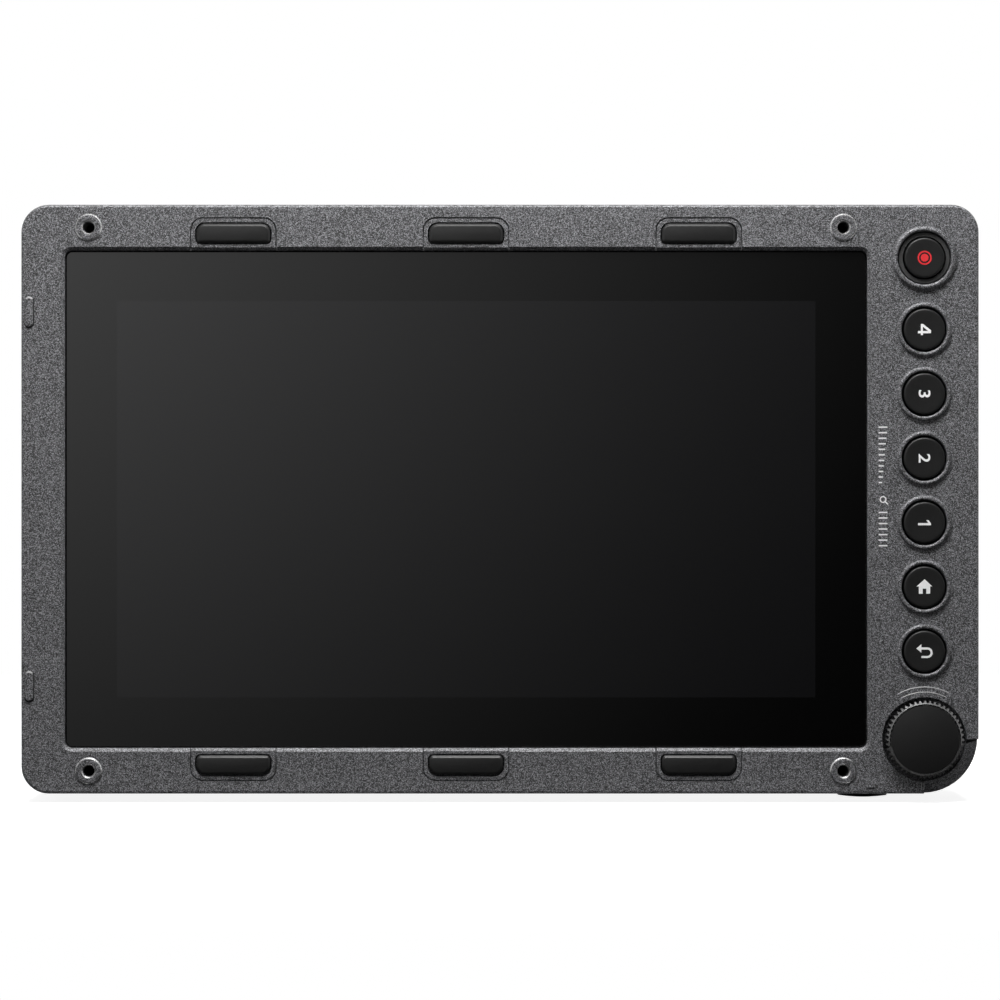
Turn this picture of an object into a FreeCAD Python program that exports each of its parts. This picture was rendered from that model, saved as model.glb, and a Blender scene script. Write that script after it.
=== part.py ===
"""Camera field monitor: a metal frame round a recessed touch screen, a column of keys, a knurled dial
and a finned rear cover, with the display stack and circuit boards that sit between them.

X runs to the right, Y from the screen towards the back and Z up. The origin is the mouth of the
tripod thread in the underside. Most pieces are drawn with Y as the depth behind the frame's face.
"""

import FreeCAD
import Part
import Sketcher

import math
import os
from types import SimpleNamespace

# Driving sizes, in millimetres
SIZES = {
    # Housing
    "opening_width": 127.7,
    "opening_height": 79.2,
    "opening_radius": 1.2,
    "opening_chamfer": 0.55,
    "side_border": 6.9,
    "control_column": 17.7,
    "end_border": 7.25,
    "frame_depth": 9.0,
    "cover_depth": 15.0,
    "corner_radius": 4.4,
    "edge_round": 0.5,
    "shell_wall": 2.0,
    "front_wall": 3.2,
    "cover_back": 3.0,
    "cover_chamfer": 2.2,
    "seal_inset": 0.65,
    "seal_width": 0.7,
    "seal_height": 0.6,
    # Display stack, from the glass backwards
    "glass_recess": 0.9,
    "glass_thickness": 1.1,
    "glass_gap": 0.15,
    "glass_bevel": 0.15,
    "tape_thickness": 0.2,
    "ledge_width": 2.1,
    "panel_margin_side": 4.85,
    "panel_margin_end": 4.65,
    "panel_thickness": 1.4,
    "guide_thickness": 2.0,
    "tray_wall": 0.6,
    "chassis_thickness": 0.8,
    "chassis_ear_x": 47.0,
    "chassis_ear_edge": 5.4,
    "chassis_ear_width": 5.6,
    # Rubber pads along the two long borders
    "pad_width": 11.7,
    "pad_height": 3.05,
    "pad_pitch": 37.0,
    "pad_rise": 0.35,
    "pad_bevel": 0.4,
    "pad_outer_radius": 1.35,
    "pad_inner_radius": 0.65,
    "pad_lip": 1.05,
    "pad_gap": 0.25,
    "pad_pocket_edge": 2.0,
    "pad_pocket_radius": 2.1,
    "pad_pocket_depth": 0.1,
    "pad_line_width": 0.22,
    "pad_line_depth": 0.5,
    "pad_seat_depth": 1.4,
    "pad_stem_spread": 7.2,
    "pad_stem_radius": 0.7,
    "pad_stem_length": 1.5,
    # Threaded holes for a sun hood
    "hood_inset": 3.85,
    "hood_boss_radius": 2.15,
    "hood_boss_height": 0.3,
    "hood_boss_bevel": 0.2,
    "hood_mouth_radius": 0.95,
    "hood_mouth_bevel": 0.2,
    "hood_lip": 1.0,
    "hood_insert_radius": 1.5,
    "hood_thread_radius": 0.87,
    "hood_post_radius": 2.3,
    "hood_post_length": 2.2,
    # Key column
    "rec_edge": 8.5,
    "rec_to_keys": 11.37,
    "dial_to_keys": 13.95,
    "key_radius": 3.3,
    "key_round": 0.3,
    "key_gap": 0.3,
    "key_rise": 0.5,
    "collar_width": 0.95,
    "collar_base": 0.12,
    "collar_step": 0.22,
    "collar_round": 0.4,
    "collar_inner_round": 0.3,
    "key_play": 0.05,
    "key_flange_lap": 0.3,
    "key_flange_thickness": 0.8,
    "key_stem_radius": 1.2,
    "key_stem_length": 0.7,
    "rec_radius": 3.2,
    "rec_rise": 0.7,
    "rec_ring_gap": 0.25,
    "rec_ring_width": 0.58,
    "rec_ring_rise": 0.1,
    "rec_ring_flange": 0.7,
    "rec_flange_lap": 0.5,
    "rec_collar_gap": 0.2,
    "rec_collar_width": 1.02,
    "rec_collar_base": 0.2,
    "rec_collar_step": 0.14,
    "rec_collar_round": 0.52,
    "rec_collar_inner_round": 0.34,
    "switch_size": 3.2,
    "switch_height": 1.75,
    "switch_gap": 0.5,
    "switch_bore": 0.95,
    "switch_bore_depth": 1.3,
    "plunger_radius": 0.8,
    "plunger_reach": 0.5,
    "key_board_width": 9.2,
    "key_board_thickness": 1.0,
    "key_screw_shift": 3.2,
    # Dial
    "dial_edge": 8.7,
    "dial_radius": 6.15,
    "dial_gap": 0.55,
    "dial_rise": 2.2,
    "dial_foot_gap": 0.5,
    "dial_well_depth": 1.9,
    "dial_bevel": 0.5,
    "dial_cap_radius": 5.38,
    "dial_cap_thickness": 0.5,
    "dial_cap_gap": 0.06,
    "dial_cavity_radius": 3.4,
    "dial_cavity_depth": 0.8,
    "knurl_depth": 0.4,
    "knurl_width": 0.4,
    "shaft_radius": 1.2,
    "shaft_reach": 3.1,
    "fit_gap": 0.05,
    "bushing_radius": 2.4,
    "bushing_gap": 0.2,
    "bushing_rise": 0.7,
    "encoder_size": 8.0,
    "encoder_gap": 0.3,
    "encoder_roof": 1.0,
    "encoder_cavity_radius": 2.6,
    "encoder_plunger_radius": 2.3,
    "encoder_plunger_height": 0.65,
    "guard_inner_step": 0.85,
    "guard_outer_step": 0.8,
    "guard_inner_height": 0.6,
    "guard_outer_height": 0.3,
    "guard_inner_width": 7.4,
    "guard_outer_width": 8.6,
    "guard_bevel": 0.12,
    "thumb_start": 0.9,
    "thumb_rib": 0.5,
    "thumb_rib_height": 0.25,
    "thumb_rib_bevel": 0.12,
    "thumb_fall": 2.2,
    "thumb_reach": 2.7,
    # Marks on the frame's face and the power key below
    "rib_edge": 1.3,
    "rib_width": 1.28,
    "rib_length": 4.72,
    "rib_height": 0.4,
    "rib_round": 0.2,
    "port_spread": 59.5,
    "power_edge": 17.25,
    "power_radius": 4.0,
    "power_gap": 0.2,
    "power_dome": 0.3,
    "power_rise": 1.2,
    "power_flange_lap": 0.3,
    "power_flange_thickness": 0.8,
    "power_stem_length": 1.5,
    "power_switch_width": 5.0,
    "power_switch_height": 6.0,
    "power_switch_back": 2.5,
    "lamp_edge": 0.85,
    "lamp_width": 1.4,
    "lamp_height": 0.35,
    "lamp_depth": 0.3,
    # Screws and the posts that take them
    "screw_edge": 4.6,
    "screw_step": 7.0,
    "screw_column": 1.75,
    "screw_post_radius": 2.4,
    "screw_radius": 0.95,
    "screw_gap": 0.08,
    "screw_head_radius": 1.9,
    "screw_head_height": 1.4,
    "screw_length": 7.0,
    "screw_floor": 3.2,
    "screw_socket_radius": 0.75,
    "screw_socket_depth": 0.8,
    "cover_post_radius": 3.0,
    "cover_bore_gap": 0.25,
    "small_screw_radius": 0.8,
    "small_screw_head": 1.5,
    "small_screw_head_height": 0.9,
    "small_screw_length": 3.2,
    "small_post_radius": 1.7,
    # Threaded inserts in the two narrow sides
    "tripod_insert_radius": 4.5,
    "tripod_thread_radius": 2.76,
    "tripod_insert_length": 9.0,
    "tripod_thread_length": 8.0,
    "tripod_boss_radius": 6.5,
    "tripod_boss_floor": 1.5,
    "press_gap": 0.02,
    # Circuit board, its chips and sockets
    "board_gap": 0.6,
    "board_margin": 1.0,
    "board_right": 12.1,
    "board_notch": 1.0,
    "board_thickness": 1.2,
    "standoff_radius": 2.2,
    "standoff_length": 5.0,
    "standoff_x": 50.0,
    "standoff_z": 30.0,
    "processor_size": 14.0,
    "processor_height": 1.2,
    "memory_width": 10.0,
    "memory_height": 8.0,
    "memory_thickness": 1.0,
    "memory_shift": 17.0,
    "memory_spread": 18.0,
    "thermal_pad_size": 12.0,
    "thermal_pad_thickness": 1.0,
    "spreader_width": 70.0,
    "spreader_height": 46.0,
    "spreader_plate": 2.4,
    "spreader_foot": 16.0,
    "socket_recess": 0.2,
    "socket_gap": 0.2,
    "socket_shell": 0.4,
    "video_width": 15.0,
    "video_height": 6.0,
    "video_length": 11.5,
    "video_taper": 2.2,
    "video_tongue": 1.6,
    "usb_width": 9.0,
    "usb_height": 3.2,
    "usb_length": 7.4,
    "usb_tongue": 0.7,
    "socket_depth": 5.0,
    "tongue_margin": 1.6,
    "ribbon_thickness": 0.2,
    "ribbon_width": 20.0,
    "ribbon_bow": 1.4,
    "ribbon_tail": 8.0,
    # Cooling grooves in the back and air slots in the narrow sides
    "groove_length": 84.0,
    "groove_width": 2.4,
    "groove_depth": 1.6,
    "groove_pitch": 5.0,
    "vent_width": 2.0,
    "vent_length": 8.0,
    "vent_pitch": 5.0,
    "vent_left": 62.0,
    "vent_right": 20.0,
}
KNURL_TEETH = 48
GROOVES = 9
LEFT_VENTS = 7
RIGHT_VENTS = 5

FRONT = "XZ_Plane"
SIDE = "YZ_Plane"
LEVEL = "XY_Plane"
LEFT_TURN = 1
RIGHT_TURN = -1
NEAR = 1e-4


class Size:
    """A length: its number now, and the sheet formula that keeps it."""

    def __init__(self, number, formula):
        self.number = number
        self.formula = formula

    def __add__(self, other):
        other = as_size(other)
        return Size(self.number + other.number, f"({self.formula} + {other.formula})")

    def __sub__(self, other):
        other = as_size(other)
        return Size(self.number - other.number, f"({self.formula} - {other.formula})")

    def __mul__(self, other):
        other = as_size(other)
        return Size(self.number * other.number, f"({self.formula} * {other.formula})")

    def __truediv__(self, other):
        other = as_size(other)
        return Size(self.number / other.number, f"({self.formula} / {other.formula})")

    def __neg__(self):
        return Size(-self.number, f"(0 - {self.formula})")

    def root(self):
        """The square root of a Size that is an area."""
        return Size(math.sqrt(self.number), f"sqrt({self.formula})")

    __radd__ = __add__
    __rmul__ = __mul__


def as_size(value):
    """Takes a plain number as a Size."""
    if isinstance(value, Size):
        return value
    return Size(float(value), f"({float(value)})")


def make_sheet(document, sizes):
    """Writes the driving sizes to a sheet and gives them back as named Sizes."""
    sheet = document.addObject("Spreadsheet::Sheet", "sizes")
    for row, (name, value) in enumerate(sizes.items(), start=1):
        sheet.set(f"A{row}", name)
        sheet.set(f"B{row}", str(value))
        sheet.setAlias(f"B{row}", name)
    document.recompute()
    return SimpleNamespace(**{name: Size(float(sheet.get(name)), f"sizes.{name}") for name in sizes})


doc = FreeCAD.newDocument("field_monitor")
size = make_sheet(doc, SIZES)

# Outer shape and the middle of the screen
body_width = size.side_border + size.opening_width + size.control_column
body_height = size.opening_height + 2 * size.end_border
right = body_width / 2
left = -right
middle = body_height / 2
total_depth = size.frame_depth + size.cover_depth
setback = size.frame_depth + size.cover_depth / 2
screen_x = left + size.side_border + size.opening_width / 2

# Depths of the display stack and of the boards behind it
glass_back = size.glass_recess + size.glass_thickness
glass_seat = glass_back + size.tape_thickness
panel_back = glass_back + size.panel_thickness
guide_back = panel_back + size.guide_thickness
tray_back = guide_back + size.tray_wall
chassis_back = tray_back + size.chassis_thickness
board_front = chassis_back + size.standoff_length
board_back = board_front + size.board_thickness
cover_inside = total_depth - size.cover_back
pad_seat = size.pad_pocket_depth + size.pad_seat_depth
hood_post_end = size.front_wall + size.hood_post_length

# Keys and dial
key_x = right - size.dial_edge
dial_z = size.dial_edge
rec_z = body_height - size.rec_edge
first_key_z = rec_z - size.rec_to_keys
last_key_z = dial_z + size.dial_to_keys
key_hole = size.key_radius + size.key_gap
key_flange = key_hole + size.key_flange_lap
key_flange_front = size.front_wall + size.key_play
stem_end = key_flange_front + size.key_flange_thickness + size.key_stem_length
switch_front = stem_end + size.switch_gap
key_board_front = switch_front + size.switch_height
rec_ring_inner = size.rec_radius + size.rec_ring_gap
rec_ring_outer = rec_ring_inner + size.rec_ring_width
rec_hole = rec_ring_outer + size.rec_collar_gap
collar_height = size.collar_base + size.collar_round
rec_collar_height = size.rec_collar_base + size.rec_collar_round
dial_well = size.dial_radius + size.dial_gap
dial_foot = size.dial_well_depth - size.dial_foot_gap
shaft_end = size.dial_well_depth + size.shaft_reach
bushing_front = size.dial_well_depth - size.bushing_rise
power_x = right - size.power_edge

KEY_NAMES = ("button_4", "button_3", "button_2", "button_1", "home_button", "back_button")
key_pitch = (first_key_z - last_key_z) / (len(KEY_NAMES) - 1)
key_heights = {name: first_key_z - key_pitch * step for step, name in enumerate(KEY_NAMES)}

# Places of the repeated features, as (x, z) on the face
pad_places = {
    f"pad_{row}_{name}": (screen_x + size.pad_pitch * step, row)
    for row in ("top", "bottom")
    for name, step in (("left", -1), ("middle", 0), ("right", 1))
}
hood_x = size.opening_width / 2 - size.hood_inset
hood_z = size.end_border / 2
hood_places = [
    (screen_x + hood_x * side, z) for side in (-1, 1) for z in (hood_z, body_height - hood_z)
]
screw_top = body_height - size.screw_edge
screw_corner = left + size.screw_edge
screw_places = [
    (screw_corner, size.screw_edge),
    (screen_x - size.pad_pitch / 2, size.screw_edge),
    (screen_x + size.pad_pitch / 2, size.screw_edge),
    (screen_x + hood_x - size.screw_step, size.screw_edge),
    (screw_corner, screw_top),
    (screen_x - size.pad_pitch / 2, screw_top),
    (screen_x + size.pad_pitch / 2, screw_top),
    (screen_x + size.opening_width / 2 + size.screw_column, screw_top),
]
ear_places = [
    (screen_x + size.chassis_ear_x * side, z)
    for side in (-1, 1)
    for z in (size.chassis_ear_edge, body_height - size.chassis_ear_edge)
]
standoff_places = [
    (screen_x + size.standoff_x * side, middle + size.standoff_z * end)
    for side in (-1, 1)
    for end in (-1, 1)
]
key_screw_places = [
    (key_x - size.key_screw_shift, (rec_z + first_key_z) / 2),
    (key_x + size.key_screw_shift, key_heights["button_2"] - key_pitch / 2),
    (key_x - size.key_screw_shift, (last_key_z + dial_z) / 2),
]
switch_places = [(key_x, rec_z)] + [(key_x, z) for z in key_heights.values()]
video_z = middle + size.port_spread / 2
usb_z = middle - size.port_spread / 2


class Drawing:
    """A sketch on one of a body's own planes, with every point and radius tied to the sheet."""

    def __init__(self, body, plane, at=0, across=0, up=0):
        planes = {feature.Role: feature for feature in body.Origin.OriginFeatures}
        self.plane = plane
        self.sketch = body.newObject("Sketcher::SketchObject", f"{body.Label}_sketch")
        self.sketch.AttachmentSupport = [(planes[plane], "")]
        self.sketch.MapMode = "FlatFace"
        lift = -as_size(at) if plane == FRONT else as_size(at)
        for axis, shift in (("x", as_size(across)), ("y", as_size(up)), ("z", lift)):
            self.sketch.setExpression(f"AttachmentOffset.Base.{axis}", shift.formula)
        self.constraints = []
        self.formulas = {}

    def tie(self, kind, *places):
        """Notes a constraint, to be added when the drawing is finished."""
        self.constraints.append(Sketcher.Constraint(kind, *places))

    def measure(self, kind, value, *places):
        """Notes a dimension that follows a Size."""
        self.formulas[len(self.constraints)] = value.formula
        self.tie(kind, *places, value.number)

    def pin(self, curve, end, x=None, y=None):
        """Holds one point of a curve at x, at y or at both."""
        for kind, value, axis in (("DistanceX", x, -2), ("DistanceY", y, -1)):
            if value is None:
                continue
            value = as_size(value)
            if abs(value.number) < NEAR:
                self.tie("PointOnObject", curve, end, axis)
            else:
                self.measure(kind, value, -1, 1, curve, end)

    def finish(self):
        """Adds the constraints to the sketch, which is then ready for a feature."""
        self.sketch.addConstraint(self.constraints)
        for index, formula in self.formulas.items():
            self.sketch.setExpression(f"Constraints[{index}]", formula)
        return self.sketch

    def outline(self, points):
        """Draws a closed outline. A point is (x, y), or (x, y, radius, turn) where an arc leaves it."""
        curves = []
        for step, point in enumerate(points):
            x, y = as_size(point[0]), as_size(point[1])
            following = points[(step + 1) % len(points)]
            start = FreeCAD.Vector(x.number, y.number)
            end = FreeCAD.Vector(as_size(following[0]).number, as_size(following[1]).number)
            if (end - start).Length < NEAR:
                continue
            if len(point) == 2:
                curve = self.sketch.addGeometry(Part.LineSegment(start, end), False)
                curves.append((curve, 1, 2))
            else:
                radius, turn = as_size(point[2]), point[3]
                curve = self.sketch.addGeometry(arc_between(start, end, radius.number, turn), False)
                curves.append((curve, 1, 2) if turn == LEFT_TURN else (curve, 2, 1))
                self.measure("Radius", radius, curve)
            self.pin(curve, curves[-1][1], x, y)
        for step, (curve, _, last) in enumerate(curves):
            next_curve, first, _ = curves[(step + 1) % len(curves)]
            self.tie("Coincident", curve, last, next_curve, first)

    def box(self, low_x, high_x, low_y, high_y, radii=(0, 0, 0, 0)):
        """Draws a rectangle. The corner radii go round from the low, low corner by way of high x."""
        first, second, third, fourth = (as_size(radius) for radius in radii)
        corners = [
            (first, low_x, low_y + first, low_x + first, low_y),
            (second, high_x - second, low_y, high_x, low_y + second),
            (third, high_x, high_y - third, high_x - third, high_y),
            (fourth, low_x + fourth, high_y, low_x, high_y - fourth),
        ]
        points = []
        for radius, start_x, start_y, end_x, end_y in corners:
            if radius.number > NEAR:
                points.append((start_x, start_y, radius, LEFT_TURN))
            points.append((end_x, end_y))
        self.outline(points)

    def circle(self, x, y, radius):
        """Draws a circle."""
        x, y, radius = as_size(x), as_size(y), as_size(radius)
        centre = FreeCAD.Vector(x.number, y.number)
        normal = FreeCAD.Vector(0, 0, 1)
        curve = self.sketch.addGeometry(Part.Circle(centre, normal, radius.number), False)
        self.pin(curve, 3, x, y)
        self.measure("Radius", radius, curve)

    def circles(self, places, radius):
        """Draws the same circle at several places."""
        for x, y in places:
            self.circle(x, y, radius)
        return self


def arc_between(start, end, radius, turn):
    """The short arc from start to end that turns left or right."""
    chord = end - start
    half = chord.Length / 2
    sideways = FreeCAD.Vector(-chord.y, chord.x).normalize() * turn
    centre = (start + end) / 2 + sideways * math.sqrt(max(radius * radius - half * half, 0))
    first, last = (start, end) if turn == LEFT_TURN else (end, start)
    angles = [math.atan2(point.y - centre.y, point.x - centre.x) for point in (first, last)]
    return Part.ArcOfCircle(Part.Circle(centre, FreeCAD.Vector(0, 0, 1), radius), *angles)


def new_body(name, x=0, z=0, depth=True):
    """Starts a piece. Its depths count from the frame's face unless depth is False."""
    body = doc.addObject("PartDesign::Body", name)
    body.Label = name
    shift = -setback if depth else as_size(0)
    for axis, value in (("x", as_size(x)), ("y", shift), ("z", as_size(z))):
        body.setExpression(f"Placement.Base.{axis}", value.formula)
    return body


def grow(body, drawing, length):
    """Adds a drawing's shape, from its plane towards greater depth, X or Z."""
    pad = body.newObject("PartDesign::Pad", f"{body.Label}_pad")
    pad.Profile = drawing.finish()
    pad.Reversed = drawing.plane == FRONT
    pad.setExpression("Length", as_size(length).formula)
    return pad


def cut(body, drawing, length):
    """Takes a drawing's shape away, from its plane towards greater depth, X or Z."""
    pocket = body.newObject("PartDesign::Pocket", f"{body.Label}_pocket")
    pocket.Profile = drawing.finish()
    pocket.Reversed = drawing.plane != FRONT
    pocket.setExpression("Length", as_size(length).formula)
    return pocket


def turn(body, drawing, axis="V_Axis", kind="Revolution", angle=as_size(360), centred=False):
    """Turns a drawing about one of its own axes, as added material or as a groove."""
    feature = body.newObject(f"PartDesign::{kind}", f"{body.Label}_{kind.lower()}")
    feature.Profile = drawing.finish()
    feature.ReferenceAxis = (drawing.sketch, [axis])
    feature.Midplane = centred
    feature.setExpression("Angle", angle.formula)
    return feature


def dress(body, feature, kind, amount, wanted):
    """Fillets or chamfers the edges of a feature that pass a test."""
    doc.recompute()
    names = [f"Edge{n}" for n, edge in enumerate(feature.Shape.Edges, start=1) if wanted(edge)]
    if not names:
        raise ValueError(f"{body.Label}: no edges to dress")
    dressed = body.newObject(f"PartDesign::{kind}", f"{body.Label}_{kind.lower()}")
    dressed.Base = (feature, names)
    dressed.setExpression("Radius" if kind == "Fillet" else "Size", amount.formula)
    return dressed


def repeat(body, kind, feature, axis, length, count):
    """Repeats a feature along or round one of the body's axes."""
    axes = {origin.Role: origin for origin in body.Origin.OriginFeatures}
    pattern = body.newObject(f"PartDesign::{kind}", f"{body.Label}_pattern")
    pattern.Originals = [feature]
    if kind == "PolarPattern":
        pattern.Axis = (axes[axis], [""])
        pattern.Angle = 360
    else:
        pattern.Direction = (axes[axis], [""])
        pattern.setExpression("Length", length.formula)
    pattern.Occurrences = count
    body.Tip = pattern
    return pattern


def edge_points(edge):
    """The ends and the middle of an edge."""
    middle_point = edge.valueAt((edge.FirstParameter + edge.LastParameter) / 2)
    return [vertex.Point for vertex in edge.Vertexes] + [middle_point]


def at_depth(depth):
    """A test for edges that lie flat at one depth."""
    depth = as_size(depth).number
    return lambda edge: all(abs(point.y - depth) < NEAR for point in edge_points(edge))


def ring_at(depth, radius):
    """A test for round edges of one radius at one depth."""
    flat = at_depth(depth)
    radius = as_size(radius).number
    return lambda edge: flat(edge) and abs(getattr(edge.Curve, "Radius", 0) - radius) < NEAR


def on_opening_rim(edge):
    """A test for the edges where the screen opening meets the face."""
    half_width = (size.opening_width / 2).number + NEAR
    half_height = (size.opening_height / 2).number + NEAR
    inside = [
        abs(point.x - screen_x.number) < half_width and abs(point.z - middle.number) < half_height
        for point in edge_points(edge)
    ]
    return at_depth(0)(edge) and all(inside)


def housing_outline(drawing, inset=0):
    """The outer shape of the housing, drawn in by an inset."""
    inset = as_size(inset)
    corner = size.corner_radius - inset
    dial_corner = size.dial_edge - inset
    radii = (corner, dial_corner, corner, corner)
    drawing.box(left + inset, right - inset, inset, body_height - inset, radii)
    return drawing


def screen_box(drawing, inset_x, inset_z, radius=0):
    """A rectangle in the middle of the screen opening, drawn in from its edges."""
    half_width = size.opening_width / 2 - inset_x
    half_height = size.opening_height / 2 - inset_z
    low_z, high_z = middle - half_height, middle + half_height
    drawing.box(screen_x - half_width, screen_x + half_width, low_z, high_z, (radius,) * 4)
    return drawing


def centred_box(drawing, x, z, width, height):
    """A plain rectangle round a point."""
    drawing.box(x - width / 2, x + width / 2, z - height / 2, z + height / 2)
    return drawing


# Front frame
def pad_box(drawing, place, width_gap, outer_edge, inner_edge, outer_radius, inner_radius):
    """A rectangle round a pad's place, measured inwards from the long edge beside it."""
    x, row = place
    half = size.pad_width / 2 + width_gap
    if row == "bottom":
        radii = (outer_radius, outer_radius, inner_radius, inner_radius)
        drawing.box(x - half, x + half, outer_edge, inner_edge, radii)
    else:
        radii = (inner_radius, inner_radius, outer_radius, outer_radius)
        drawing.box(x - half, x + half, body_height - inner_edge, body_height - outer_edge, radii)


def pad_outline(drawing, place, gap=0):
    """The outline of a rubber pad, or of its seat with a gap round it."""
    outer = size.pad_pocket_edge + size.pad_lip
    gap = as_size(gap)
    pad_box(
        drawing, place, gap, outer - gap, outer + size.pad_height + gap,
        size.pad_outer_radius + gap, size.pad_inner_radius + gap,
    )


def pocket_outline(drawing, place, inset=0):
    """The outline of a pad's pocket, which runs out into the screen opening."""
    inset = as_size(inset)
    pad_box(
        drawing, place, size.pad_lip - inset, size.pad_pocket_edge + inset,
        size.end_border + size.opening_chamfer - inset, size.pad_pocket_radius - inset, 0,
    )


def pad_stems(place):
    """The two stem places of a pad."""
    x, row = place
    height = size.pad_pocket_edge + size.pad_lip + size.pad_height / 2
    z = height if row == "bottom" else body_height - height
    return [(x - size.pad_stem_spread / 2, z), (x + size.pad_stem_spread / 2, z)]


def add_frame_pads(body):
    """Shallow pockets with a groove at their edge, seats and stem holes for the rubber pads."""
    for row in ("top", "bottom"):
        pockets = Drawing(body, FRONT)
        lines = Drawing(body, FRONT, size.pad_pocket_depth)
        seats = Drawing(body, FRONT, size.pad_pocket_depth)
        stems = Drawing(body, FRONT, pad_seat)
        for place in (place for place in pad_places.values() if place[1] == row):
            pocket_outline(pockets, place)
            pocket_outline(lines, place)
            pocket_outline(lines, place, size.pad_line_width)
            pad_outline(seats, place, size.pad_gap)
            stems.circles(pad_stems(place), size.pad_stem_radius + size.fit_gap)
        cut(body, pockets, size.pad_pocket_depth)
        cut(body, lines, size.pad_line_depth)
        cut(body, seats, size.pad_seat_depth)
        cut(body, stems, size.front_wall - pad_seat)


def add_frame_posts(body):
    """Posts behind the face for the case, chassis, key board and hood screws."""
    posts = [
        (hood_places, size.hood_post_radius, hood_post_end),
        (screw_places, size.screw_post_radius, size.frame_depth),
        (ear_places, size.small_post_radius, tray_back),
        (key_screw_places, size.small_post_radius, key_board_front),
    ]
    for places, radius, end in posts:
        grow(body, Drawing(body, FRONT, size.front_wall).circles(places, radius), end - size.front_wall)
    small_hole = size.small_screw_radius + size.screw_gap
    screw_depth = size.screw_length - size.screw_floor + size.screw_gap
    ear_depth = size.small_screw_length - size.chassis_thickness + size.screw_gap
    key_board_depth = size.small_screw_length - size.key_board_thickness + size.screw_gap
    holes = [
        (screw_places, size.screw_radius + size.screw_gap, size.frame_depth, screw_depth),
        (ear_places, small_hole, tray_back, ear_depth),
        (key_screw_places, small_hole, key_board_front, key_board_depth),
    ]
    for places, radius, end, depth in holes:
        cut(body, Drawing(body, FRONT, end - depth).circles(places, radius), depth)


def add_hood_bosses(body):
    """Raised rings on the face, each with a mouth and the seat of a threaded insert behind it."""
    face = -size.hood_boss_height
    rings = Drawing(body, FRONT, face).circles(hood_places, size.hood_boss_radius)
    boss = grow(body, rings, size.hood_boss_height)
    dress(body, boss, "Chamfer", size.hood_boss_bevel, ring_at(face, size.hood_boss_radius))
    mouth = Drawing(body, FRONT, face).circles(hood_places, size.hood_mouth_radius)
    hole = cut(body, mouth, size.hood_boss_height + size.hood_lip)
    dress(body, hole, "Chamfer", size.hood_mouth_bevel, ring_at(face, size.hood_mouth_radius))
    seat = Drawing(body, FRONT, size.hood_lip).circles(hood_places, size.hood_insert_radius + size.press_gap)
    cut(body, seat, hood_post_end - size.hood_lip)


def add_collar(body, z, hole, width, base, step, outer_round, inner_round):
    """A raised half-round collar on a low base round one key, before its hole is cut."""
    outer = hole + width
    shoulder = outer - step
    crest = base + outer_round
    drawing = Drawing(body, LEVEL, z, key_x)
    drawing.outline([
        (hole - size.key_gap, 0), (outer, 0), (outer, -base), (shoulder, -base, outer_round, RIGHT_TURN),
        (shoulder - outer_round, -crest), (hole + inner_round, -crest, inner_round, RIGHT_TURN),
        (hole, inner_round - crest), (hole - size.key_gap, inner_round - crest),
    ])
    return turn(body, drawing)


def add_key_holes(body):
    """Collars and through holes for the keys."""
    collar = add_collar(body, last_key_z, key_hole, size.collar_width, size.collar_base, size.collar_step,
                        size.collar_round, size.collar_inner_round)
    repeat(body, "LinearPattern", collar, "Z_Axis", first_key_z - last_key_z, len(KEY_NAMES))
    add_collar(body, rec_z, rec_hole, size.rec_collar_width, size.rec_collar_base, size.rec_collar_step,
               size.rec_collar_round, size.rec_collar_inner_round)
    places = [(key_x, z) for z in key_heights.values()]
    cut(body, Drawing(body, FRONT, -collar_height).circles(places, key_hole), collar_height + size.front_wall)
    cut(body, Drawing(body, FRONT, -rec_collar_height).circles([(key_x, rec_z)], rec_hole),
        rec_collar_height + size.front_wall)


def add_guard_step(body, radius, width, height):
    """One step of the guard over the dial, with upright sides and a round top."""
    half = width / 2
    shoulder = (radius * radius - half * half).root()
    step = Drawing(body, FRONT, -height, key_x, dial_z)
    step.outline([(-half, 0), (half, 0), (half, shoulder, radius, LEFT_TURN), (-half, shoulder)])
    dress(body, grow(body, step, height), "Chamfer", size.guard_bevel, at_depth(-height))


def add_dial_well(body):
    """A stepped guard over the dial, the dial's round well and the thumb recess with a rib beside it."""
    inner_step = dial_well + size.guard_inner_step
    outer_step = inner_step + size.guard_outer_step
    add_guard_step(body, outer_step, size.guard_outer_width, size.guard_outer_height)
    add_guard_step(body, inner_step, size.guard_inner_width, size.guard_inner_height)
    well = Drawing(body, FRONT, -size.guard_inner_height).circles([(key_x, dial_z)], dial_well)
    cut(body, well, size.guard_inner_height + size.dial_well_depth)
    thumb = Drawing(body, LEVEL, dial_z, key_x)
    inner_edge = dial_well - size.dial_gap
    reach = dial_well + size.thumb_reach
    thumb.outline([(inner_edge, 0), (inner_edge, size.thumb_start), (dial_well, size.thumb_start),
                   (reach, size.thumb_start + size.thumb_fall), (reach, 0)])
    turn(body, thumb, kind="Groove", angle=as_size(90))
    rib = Drawing(body, FRONT, -size.thumb_rib_height, key_x, dial_z)
    rib_start = dial_well + size.thumb_rib_bevel
    rib_end = size.dial_edge - size.edge_round - size.thumb_rib_bevel
    rib.box(-size.thumb_rib, as_size(0), -rib_end, -rib_start)
    raised = grow(body, rib, size.thumb_rib_height)
    dress(body, raised, "Chamfer", size.thumb_rib_bevel, at_depth(-size.thumb_rib_height))
    hole = Drawing(body, FRONT, size.dial_well_depth)
    hole.circle(key_x, dial_z, size.bushing_radius + size.bushing_gap)
    cut(body, hole, size.front_wall - size.dial_well_depth)


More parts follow.
